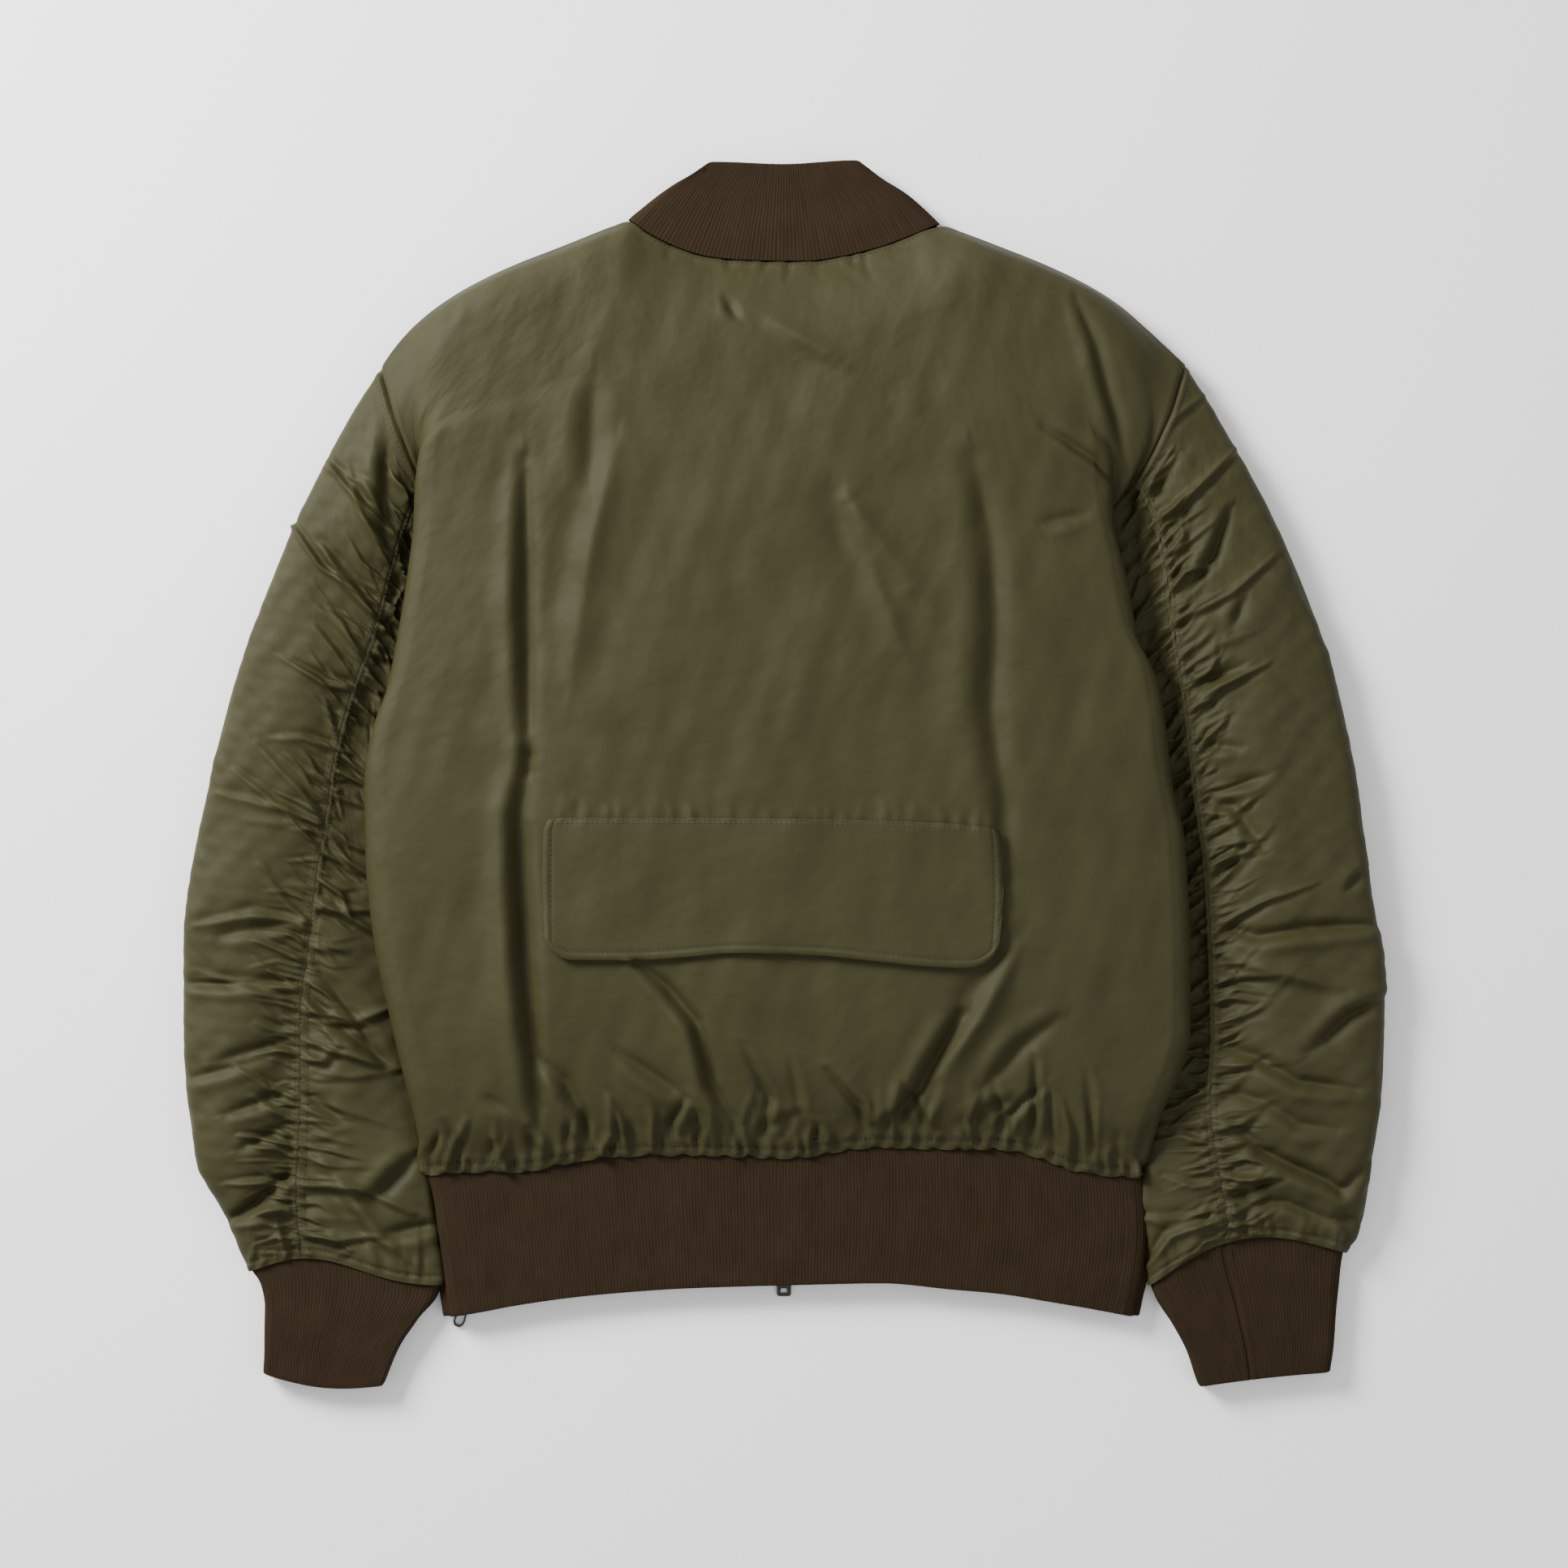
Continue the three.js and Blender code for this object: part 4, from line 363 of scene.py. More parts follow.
def side_shift(side, at, knot):
    """How far up the border at a side pulls the threads beside it."""
    top = sleeve_point(side, 0, 0)[1]
    own = body_side(side, at, False)[1]
    chord = mix(top, sleeve_point(side, 0, INNER_KNOT)[1], at / PIT) if at < PIT else own
    return mix(own, chord, 0.3 * ease(knot)) - mix(top, HEM_CORNER, at)


def back_point(at, knot):
    """A point of the back panel, at from the shoulder to the hem."""
    x, z = back_section(knot, at)
    x0 = back_section(knot, 0)[0]
    side = "left" if x0 < 0 else "right"
    top = read(SHOULDER[side], abs(x0)) if abs(x0) > NECK_OUT else read(NECK_BACK, x0)
    hem = read(HEM_EDGE, back_section(knot, 1)[0])
    k = knot / 12
    shift = (1 - k) ** 2 * side_shift("left", at, knot) + k**2 * side_shift("right", at, 12 - knot)
    y = mix(top, hem, at) + shift
    neck = ease((NECK_OUT + 25 - abs(x0)) / 50)
    t = min(1, max(0, (top - y) / mix(34, 62, neck)))
    rise = 1 - (1 - t) ** 2
    grown = mix(math.sqrt(rise), rise, neck)
    if abs(x0) >= NECK_OUT:
        fold_high = mix(NECK_ROUND, 10, (abs(x0) - NECK_OUT) / 160)
    else:
        inside = min(NECK_ROUND, NECK_OUT - abs(x0))
        fold_high = NECK_ROUND + math.sqrt(NECK_ROUND**2 - (NECK_ROUND - inside) ** 2)
    inside = ease(min(knot, 12 - knot))
    return np.array([x, y, mix(z, mix(fold_high, z, grown), inside)])


def along(points, axis, places):
    """Rows or columns of a grid of points at places between its own, smoothly."""
    points = np.moveaxis(points, axis, 0)
    count = len(points)
    i = np.clip(places.astype(int), 0, count - 2)
    t = (places - i).reshape(-1, *([1] * (points.ndim - 1)))
    p1, p2 = points[i], points[i + 1]
    p0 = np.where((i > 0).reshape(t.shape), points[np.maximum(i - 1, 0)], 2 * p1 - p2)
    p3 = np.where((i + 2 < count).reshape(t.shape), points[np.minimum(i + 2, count - 1)], 2 * p2 - p1)
    found = p1 + 0.5 * t * (p2 - p0 + t * (2 * p0 - 5 * p1 + 4 * p2 - p3 + t * (3 * (p1 - p2) + p3 - p0)))
    return np.moveaxis(found, 0, axis)


def distance(points, axis):
    """Distance over a grid of points from its first row or column to each of the others."""
    first = np.take(points, [0], axis=axis)
    return np.cumsum(np.linalg.norm(np.diff(points, axis=axis, prepend=first), axis=2), axis=axis)


def evenly(points, rows, columns):
    """The same surface with rows and columns spaced evenly over it."""
    for axis, count in ((0, rows), (1, columns)):
        steps = np.linalg.norm(np.diff(points, axis=axis), axis=2).mean(axis=1 - axis)
        gone = np.concatenate([[0], np.cumsum(steps)])
        places = np.interp(np.linspace(0, gone[-1], count), gone, np.arange(len(gone)))
        points = along(points, axis, places)
    return points


def facing(points, up, column=None):
    """Unit directions square to a grid of points. In the named column they point up, or down if up is -1."""
    n = np.cross(np.gradient(points, axis=0), np.gradient(points, axis=1))
    n /= np.maximum(np.linalg.norm(n, axis=2, keepdims=True), 1e-9)
    column = n.shape[1] // 2 if column is None else column
    return n if n[n.shape[0] // 2, column, 2] * up > 0 else -n


def creases(x, y, lines):
    """Height of creases, each with a softer fold of the other way on one side of it. A line is its half
    width, its height and its points on the plan."""
    height = np.zeros_like(x)
    for half, high, *flat in lines:
        points = np.array(flat, float).reshape(-1, 2)
        low = points.min(axis=0) - 4.5 * half
        top = points.max(axis=0) + 4.5 * half
        near = (x > low[0]) & (x < top[0]) & (y > low[1]) & (y < top[1])
        if not near.any():
            continue
        px, py = x[near], y[near]
        steps = np.diff(points, axis=0)
        lengths = np.hypot(steps[:, 0], steps[:, 1])
        nearest = np.full(px.shape, 1e9)
        part = np.zeros(px.shape)
        aside = np.ones(px.shape)
        gone = 0
        for start, step, length in zip(points, steps, lengths):
            t = np.clip(((px - start[0]) * step[0] + (py - start[1]) * step[1]) / length**2, 0, 1)
            away = np.hypot(px - start[0] - step[0] * t, py - start[1] - step[1] * t)
            turned = step[0] * (py - start[1]) - step[1] * (px - start[0])
            part = np.where(away < nearest, (gone + length * t) / lengths.sum(), part)
            aside = np.where(away < nearest, np.sign(turned), aside)
            nearest = np.minimum(away, nearest)
            gone += length
        strong = np.sin(np.pi * np.clip(part, 0.03, 0.97)) ** 0.5
        wide = half * (0.6 + 0.4 * strong)
        shoulder = 0.5 * np.exp(-(((nearest * aside + 1.9 * wide) / (1.3 * wide)) ** 2))
        height[near] += high * strong * (np.exp(-((nearest / wide) ** 1.7)) - shoulder)
    return height


def ripples(x, y, seed, long, high):
    """Soft uneven waves: a sum of waves in chance directions, long and high are their usual size."""
    chance = np.random.default_rng(seed)
    total = np.zeros_like(x)
    for _ in range(14):
        turn, start = chance.uniform(0, 2 * math.pi, 2)
        length = long * chance.uniform(0.6, 1.9)
        total += np.sin((x * math.cos(turn) + y * math.sin(turn)) * 2 * math.pi / length + start)
    return total * high / 3.7


def gathers(line, inward, seed, pitch, reach, half, high):
    """Short creases that start at a seam's line on the plan and run into the cloth, none like the next."""
    chance = np.random.default_rng(seed)
    steps = np.linalg.norm(np.diff(line, axis=0), axis=1)
    gone = np.concatenate([[0], np.cumsum(steps)])
    found = []
    s = chance.uniform(0, pitch)
    while s < gone[-1]:
        x, y = (np.interp(s, gone, line[:, k]) for k in (0, 1))
        dx, dy = (np.interp(s, gone, inward[:, k]) for k in (0, 1))
        size = chance.uniform(0.45, 1.2) ** 1.5
        length = mix(*reach, chance.uniform(0, 1) ** 1.8)
        turn = chance.normal(0, 0.3)
        ex = dx * math.cos(turn) - dy * math.sin(turn)
        ey = dx * math.sin(turn) + dy * math.cos(turn)
        side = chance.normal(0, 0.12) * length
        found.append((
            half * chance.uniform(0.7, 1.3), high * size, x - dx * length * 0.35, y - dy * length * 0.35,
            x + ex * length * 0.5 - ey * side, y + ey * length * 0.5 + ex * side,
            x + ex * length, y + ey * length,
        ))
        s += pitch * chance.uniform(0.55, 1.5)
    return found


class Shade:
    """An output of a material's nodes that is used in sums like a number."""

    def __init__(self, tree, socket=None):
        self.tree = tree
        self.socket = socket

    def node(self, kind, inputs, output=0, **settings):
        made = self.tree.nodes.new(kind)
        for name, value in settings.items():
            setattr(made, name, value)
        for key, value in inputs.items():
            if isinstance(value, Shade):
                self.tree.links.new(value.socket, made.inputs[key])
            else:
                made.inputs[key].default_value = value
        return Shade(self.tree, made.outputs[output])

    def output(self, which):
        return Shade(self.tree, self.socket.node.outputs[which])

    def math(self, operation, a, b=0.0):
        return self.node("ShaderNodeMath", {0: a, 1: b}, operation=operation)

    def __add__(self, other):
        return self.math("ADD", self, other)

    def __radd__(self, other):
        return self.math("ADD", other, self)

    def __sub__(self, other):
        return self.math("SUBTRACT", self, other)

    def __rsub__(self, other):
        return self.math("SUBTRACT", other, self)

    def __mul__(self, other):
        return self.math("MULTIPLY", self, other)

    def __rmul__(self, other):
        return self.math("MULTIPLY", other, self)

    def colour(self, a, b):
        """Between two colours by this value."""
        return self.node("ShaderNodeMix", {0: self, 6: a, 7: b}, 2, data_type="RGBA")


def material(name, roughness, metallic=0.0, specular=0.5):
    """A material with its shader's even numbers set, and what its own nodes start from."""
    made = bpy.data.materials.new(name)
    made.use_nodes = True
    shader = made.node_tree.nodes["Principled BSDF"]
    shader.inputs["Roughness"].default_value = roughness
    shader.inputs["Metallic"].default_value = metallic
    shader.inputs["Specular IOR Level"].default_value = specular
    return made, shader, Shade(made.node_tree)


def feed(shade, shader, name):
    """Links a value or colour to one of the shader's sockets."""
    shade.tree.links.new(shade.socket, shader.inputs[name])


def nylon(name, dark, light):
    """Satin nylon: a fine twill, a slight change of colour and small soft wrinkles in the surface."""
    made, shader, start = material(name, 0.66, specular=0.18)
    uv = start.node("ShaderNodeTexCoord", {}, 2)
    u = start.node("ShaderNodeSeparateXYZ", {0: uv})
    v = u.output(1)
    cloudy = start.node("ShaderNodeTexNoise", {"Vector": uv, "Scale": 9.0, "Detail": 3.0})
    feed(cloudy.colour((*dark, 1), (*light, 1)), shader, "Base Color")
    twill = start.math("SINE", (u + v) * 5200.0) + start.math("SINE", (u - v) * 1900.0) * 0.3
    small = start.node("ShaderNodeTexNoise", {"Vector": uv, "Scale": 110.0, "Detail": 4.0})
    larger = start.node("ShaderNodeTexNoise", {"Vector": uv, "Scale": 34.0, "Detail": 2.0})
    height = twill * 0.00002 + small * 0.0008 + larger * 0.0028
    wrinkled = start.node("ShaderNodeBump", {"Height": height, "Strength": 0.55, "Distance": 1.0})
    feed(wrinkled, shader, "Normal")
    return made


def sheet(name, points, look, flip=False):
    """A grid of points in millimetres as a mesh in metres, with distances over the cloth as its map."""
    rows, columns = points.shape[:2]
    mesh = bmesh.new()
    bmesh.ops.create_grid(mesh, x_segments=columns - 1, y_segments=rows - 1, size=1)
    mesh.verts.ensure_lookup_table()
    flat = np.array([v.co[:] for v in mesh.verts])
    column = np.rint((flat[:, 0] + 1) / 2 * (columns - 1)).astype(int)
    row = np.rint((flat[:, 1] + 1) / 2 * (rows - 1)).astype(int)
    across = distance(points, 1).mean(axis=0) / 1000
    down = distance(points, 0).mean(axis=1) / 1000
    layer = mesh.loops.layers.uv.new("cloth")
    for v, i, j in zip(mesh.verts, row, column):
        v.co = points[i, j] / 1000
    for face in mesh.faces:
        face.smooth = True
        for loop in face.loops:
            k = loop.vert.index
            loop[layer].uv = (across[column[k]], down[row[k]])
    if flip:
        bmesh.ops.reverse_faces(mesh, faces=mesh.faces)
    return placed(name, mesh, look), (across[-1], down[-1])


def stitches(name, rows, thread, long=2.2, gap=1.1, thick=0.6):
    """Rows of thread: each is a line of points with the cloth's outward directions, both in millimetres."""
    mesh = bmesh.new()
    for line, out in rows:
        steps = np.linalg.norm(np.diff(line, axis=0), axis=1)
        gone = np.concatenate([[0], np.cumsum(steps)])
        for s in np.arange(gap, gone[-1] - long, long + gap):
            a, b, up = (
                Vector([np.interp(t, gone, values[:, k]) for k in range(3)])
                for t, values in ((s, line), (s + long, line), (s + long / 2, out))
            )
            forward = (b - a).normalized()
            aside = forward.cross(up).normalized()
            turn = Matrix((forward, aside, aside.cross(forward))).transposed().to_4x4()
            middle = ((a + b) / 2 + up * thick * 0.1) / 1000
            size = Matrix.Diagonal((long / 2000, thick / 2000, thick / 2000, 1))
            place = Matrix.Translation(middle) @ turn @ size
            bmesh.ops.create_icosphere(mesh, subdivisions=1, radius=1, matrix=place)
    for face in mesh.faces:
        face.smooth = True
    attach(placed(name, mesh, thread), "jacket")


def bump(away, high, wide):
    """A soft ridge, or a groove where its height is less than 0."""
    return high * np.exp(-((away / wide) ** 2))


def seam_dip(away, depth=1.3, ridge=0.7, at=3.2):
    """The cloth's height by its distance from a seam: down at the seam, thicker over the turned-in edge."""
    return bump(away, -depth, 1.6) + bump(away - at, ridge, 2.6)


def seam_row(points, out, axis, place, keep=slice(None)):
    """A line over the cloth at a place between its rows or columns, with the directions square to it."""
    return tuple(along(grid, axis, np.array([place])).reshape(-1, 3)[keep] for grid in (points, out))


BACK_ROWS = 292
BACK_COLUMNS = 285
HEM_STITCH = 5.8    # from the gathered edge to its first row of stitches
NECK_STITCH = 6.0
BODY_CREASES = [
    (5.8, -7.2, -167, 204, -167, 103, -165, 2),
    (6.4, -10.2, -165, 12, -172, -29, -170, -69, -168, -116, -164, -164, -160, -211, -157, -235),
    (8.3, -4.3, -123, 255, -126, 188),
    (9.0, 4.3, -109, 209, -123, 153, -138, 62),
    (3.2, -2.9, -38, 308, -30, 295),
    (5.8, 2.9, -8, 293, 40, 265),
    (3.8, -2.2, -219, 293, -213, 306),
    (4.5, -4.3, 190, 308, 202, 280, 210, 249, 219, 217, 225, 192),
    (3.2, -4.3, 168, 224, 180, 217, 202, 202, 215, 190, 227, 180),
    (9.0, -5.8, 123, 204, 134, 153, 137, 103, 134, 42, 141, -3, 145, -67),
    (9.0, 4.3, 42, 177, 81, 123),
    (7.7, 2.9, 42, 177, 76, 81),
    (3.8, -2.9, 166, 162, 195, 168),
    (4.5, -7.2, -95, -122, -76, -138, -57, -161, -50, -187, -47, -202, -31, -230),
    (4.5, -4.3, -107, -180, -66, -209),
    (5.8, -8.7, 116, -157, 104, -178, 90, -204, 66, -235),
    (6.4, 5.8, 152, -112, 126, -159, 92, -205),
    (3.8, -3.6, 78, -218, 33, -251),
    (3.8, -2.9, 10, -221, -19, -235),
    (3.2, -2.2, 10, -235, 12, -249),
    (5.1, -4.3, 177, -159, 152, -178, 130, -204),
    (4.5, -3.6, 149, -211, 113, -230),
    (5.1, -5.1, -158, -185, -142, -200, -128, -228, -121, -244),
    (3.8, -2.2, -194, -209, -180, -218),
]
olive = nylon("nylon", (0.0262, 0.0240, 0.0072), (0.0305, 0.0282, 0.0088))
# Stitch thread: its dark colour is partly the thread's own and partly painted shade of the holes it sinks
# into.
thread_dark_with_hole_shade, shader, start = material("thread", 0.7)
grain = start.node("ShaderNodeTexCoord", {}, 3)
fuzz = start.node("ShaderNodeTexNoise", {"Vector": grain, "Scale": 900.0})
feed(fuzz.colour((0.007, 0.0065, 0.0025, 1), (0.02, 0.018, 0.008, 1)), shader, "Base Color")

base = np.array([[back_point(at, knot) for knot in np.linspace(0, 12, 97)] for at in np.linspace(0, 1, 71)])
back = evenly(base, BACK_ROWS, BACK_COLUMNS)
out = facing(back, 1)
x, y = back[..., 0], back[..., 1]
from_left = distance(back, 1)
from_right = from_left[:, -1:] - from_left
from_top = distance(back, 0)
from_hem = from_top[-1:] - from_top
quiet = ease(from_top / 30) * ease((from_hem - 6) / 26)
quiet = quiet * ease((from_left - 22) / 40) * ease((from_right - 22) / 40)
hem_line = back[-1, :, :2]
upward = np.tile([0.0, 1.0], (BACK_COLUMNS, 1))
hem_gathers = gathers(hem_line, upward, 5, 7, (8, 50), 2.6, 3.2)
hem_folds = gathers(hem_line, upward, 15, 19, (20, 75), 3.0, -5.5)
neck_line = back[0, 90:196, :2]
neck_gathers = gathers(neck_line, -upward[: len(neck_line)], 6, 15, (10, 30), 3, -0.8)
flap_line = np.array([(-152.0, -27.0), (140.0, -34.0)])
flap_gathers = gathers(flap_line, upward[:2], 7, 12, (7, 17), 2.6, 1.0)
lift = (
    creases(x, y, BODY_CREASES) * quiet
    + ripples(x, y, 3, 75, 0.8) * quiet
    + ripples(x, y, 4, 26, 0.4) * quiet
    + creases(x, y, flap_gathers)
    + creases(x, y, hem_gathers) * ease(from_hem / 5 + 0.35)
    + creases(x, y, hem_folds) * ease((from_hem - 4) / 18)
    + creases(x, y, neck_gathers)
    + seam_dip(from_top) + (seam_dip(from_left) + seam_dip(from_right)) * (y < SHOULDER_END)
    + bump(from_hem - HEM_STITCH, -1.1, 1.5)
)
back = back + out * lift[..., None]
puffs = [(half * 1.6, 1.0, *flat) for half, _, *flat in hem_gathers[::2]]
scallop = creases(hem_line[:, 0], hem_line[:, 1], puffs)
back[..., 1] += (np.clip(scallop, 0, 2) - 0.6) * 2.2 * (1 - ease(from_hem / 16))
back[..., 2] = np.maximum(back[..., 2], 0.3)
out = facing(back, 1)
back_object, cut = sheet("back_panel_cloth", back, olive)
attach(back_object, "jacket")
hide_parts("back_panel")
0.9 * cut[0] * cut[1]
row_step = cut[1] * 1000 / (BACK_ROWS - 1)
rows = [
    seam_row(back, out, 0, BACK_ROWS - 1 - away / row_step, slice(6, -6))
    for away in (HEM_STITCH, HEM_STITCH + 1.6)
]
rows.append(seam_row(back, out, 0, NECK_STITCH / row_step, slice(88, 198)))
stitches("back_panel_stitches", rows, thread_dark_with_hole_shade)

# Front panels: two plain pieces of the same nylon under the back. They lie on the table, hidden in the photo,
# with the zip tapes along their middle edges, and are sewn to the back at the shoulders and sides.
FRONT_EDGE = 9      # from the jacket's middle to the zip's edge of a front
# Distances from the side seam and the part of its height that is left there.
FRONT_FALL = [(8, 0.9), (16, 0.42), (25, 0.06), (38, 0)]


def front_point(side, at, knot):
    """A point of a front panel, knot 0 at the side to 8 at the front edge."""

    def section(place):
        """Distance from the middle and height on the front's section."""
        border = body_side(side, place, True)
        out = abs(border[0])
        if knot >= 4:
            return mix(out - FRONT_FALL[-1][0], FRONT_EDGE, (knot - 4) / 4), 0
        falling = [(out - away, border[2] * part) for away, part in FRONT_FALL]
        found = curve([(out, border[2]), *falling, (out - 52, 0)], knot, False)
        return found[0], max(0, found[1])

    def top_y(out):
        """Height on the plan of the shoulder and neck seams at a distance from the middle."""
        if out > NECK_OUT:
            return read(SHOULDER[side], out)
        return mix(read(SHOULDER[side], NECK_OUT), read(NECK_FRONT, out), ease((NECK_OUT - out) / NECK_ROUND))

    out, z = section(at)
    out0 = section(0)[0]
    top = top_y(out0)
    hem = read(HEM_EDGE, SIGN[side] * section(1)[0])
    shift = body_side(side, at, True)[1] - mix(sleeve_point(side, 0, 0)[1], HEM_CORNER, at)
    y = mix(top, hem, at) + (1 - knot / 8) ** 2 * shift
    t = min(1, max(0, (top - y) / 16))
    if out0 > NECK_OUT:
        first = mix(NECK_ROUND, 10, (out0 - NECK_OUT) / 160)
    else:
        first = NECK_ROUND - math.sqrt(NECK_ROUND**2 - max(0, NECK_ROUND - (NECK_OUT - out0)) ** 2)
    return np.array([SIGN[side] * out, y, mix(z, mix(first, z, math.sqrt(1 - (1 - t) ** 2)), ease(knot))])


FRONT_CREASES = {
    "left": [
        (9, 2.2, -190, 180, -150, 60, -160, -60), (8, 1.8, -60, 240, -90, 120),
        (9, 2.4, -200, -120, -120, -190), (7, 1.6, -40, -60, -110, -150, -90, -230),
        (8, 1.5, -210, 60, -140, 10),
    ],
    "right": [
        (9, 2.2, 170, 200, 140, 70, 150, -70), (8, 1.8, 50, 250, 90, 150, 80, 60),
        (8, 2.1, 200, -90, 120, -170), (7, 1.6, 60, -110, 120, -220), (8, 1.5, 200, 100, 130, 60),
    ],
}
for side in SIGN:
    places = np.concatenate([[0, 0.0008, 0.003, 0.0065, 0.011, 0.016], np.linspace(0.022, 1, 48)])
    base = np.array([[front_point(side, at, knot) for knot in np.linspace(0, 8, 41)] for at in places])
    front = evenly(base, 260, 60)
    out = facing(front, -1)
    x, y = front[..., 0], front[..., 1]
    away = distance(front, 0)
    still = ease(away / 30) * ease((away[-1:] - away) / 25)
    still = still * ease((np.abs(x) - FRONT_EDGE) / 20) * ease((np.abs(x[:, :1]) - np.abs(x)) / 45)
    inward = creases(x, y, FRONT_CREASES[side]) + np.maximum(0, ripples(x, y, 8, 60, 1.2))
    top_seam = seam_dip(away, 1.3, 0) * (np.abs(x) > NECK_OUT + 4)
    front = front + out * (top_seam - inward * still)[..., None]
    front[..., 2] = np.maximum(front[..., 2], 0.05)
    panel, cut = sheet(f"front_panel_{side}_cloth", front, olive, flip=side == "left")
    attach(panel, "jacket")
    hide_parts(f"front_panel_{side}")
    0.9 * cut[0] * cut[1]

# Sleeves: each is an outer and an under piece of the same nylon. Their back seam is gathered along its whole
# length between two rows of stitches, their other seam lies plain on the table.
SLEEVE_ROWS = 560
SLEEVE_COLUMNS = 80
SEAM_STITCH = 3.4       # rows of stitches from the ruched seam, the cuff and the armhole
CUFF_STITCH = 5.8
ARMHOLE_STITCH = 5.2
SLEEVE_CREASES = {
    "left": [
        (5.1, -5.8, -252, 240, -258, 203, -259, 166, -260, 150),
        (3.8, -3.6, -367, -105, -319, -96),
        (3.8, -4.3, -394, -137, -356, -136, -321, -135),
        (3.8, -3.6, -370, -187, -323, -173),
        (3.8, -3.6, -390, -199, -337, -185),
        (3.8, -4.3, -362, -221, -322, -207),
        (3.8, -4.3, -354, -244, -322, -228),
        (4.5, -7.2, -363, -292, -346, -282, -319, -258),
        (4.5, -4.3, -305, -124, -275, -167, -259, -191),
        (3.8, -5.8, -309, -144, -287, -167, -259, -189),
        (3.8, -4.3, -313, -207, -287, -226),
        (5.1, 4.3, -311, -240, -287, -268, -262, -304, -240, -321),
        (5.1, -5.8, -240, -250, -264, -274, -277, -277),
        (4.5, -5.8, -257, -300, -226, -294),
    ],
    "right": [
        (4.5, -5.8, 243, 237, 241, 204, 243, 184),
        (3.8, -5.8, 290, 172, 280, 143, 262, 117),
        (3.8, -3.6, 301, 117, 292, 96),
        (3.8, -4.3, 262, 68, 273, 59, 297, 70),
        (3.8, -3.6, 270, 19, 295, 17),
        (3.8, -3.6, 286, -10, 314, -1),
        (3.8, -4.3, 273, -18, 292, -21, 314, -51),
        (4.5, -5.8, 279, -98, 308, -106, 334, -101, 361, -99, 391, -98),
        (5.1, 4.3, 282, -116, 301, -124, 331, -131, 359, -139),
        (5.1, -5.8, 393, -147, 368, -158, 353, -172, 342, -181),
        (4.5, -5.8, 285, -177, 308, -185, 334, -200, 372, -205),
        (4.5, -4.3, 288, -207, 312, -213, 334, -228, 359, -231),
        (4.5, -7.2, 294, -230, 312, -246, 334, -257, 353, -265, 363, -272, 376, -259),
        (4.5, -5.1, 297, -280, 327, -280, 353, -291, 379, -291),
        (3.2, -2.9, 377, -64, 366, -76),
    ],
}
UNDERSIDE_CREASES = {
    "left": [
        (7, 1.6, -370, -60, -300, -80), (7, 1.8, -380, -160, -290, -150, -250, -190),
        (7, 1.4, -330, 90, -270, 60),
    ],
    "right": [
        (7, 1.6, 370, -40, 300, -70), (7, 1.8, 385, -150, 300, -170, 260, -160), (7, 1.4, 320, 110, 260, 70),
    ],
}
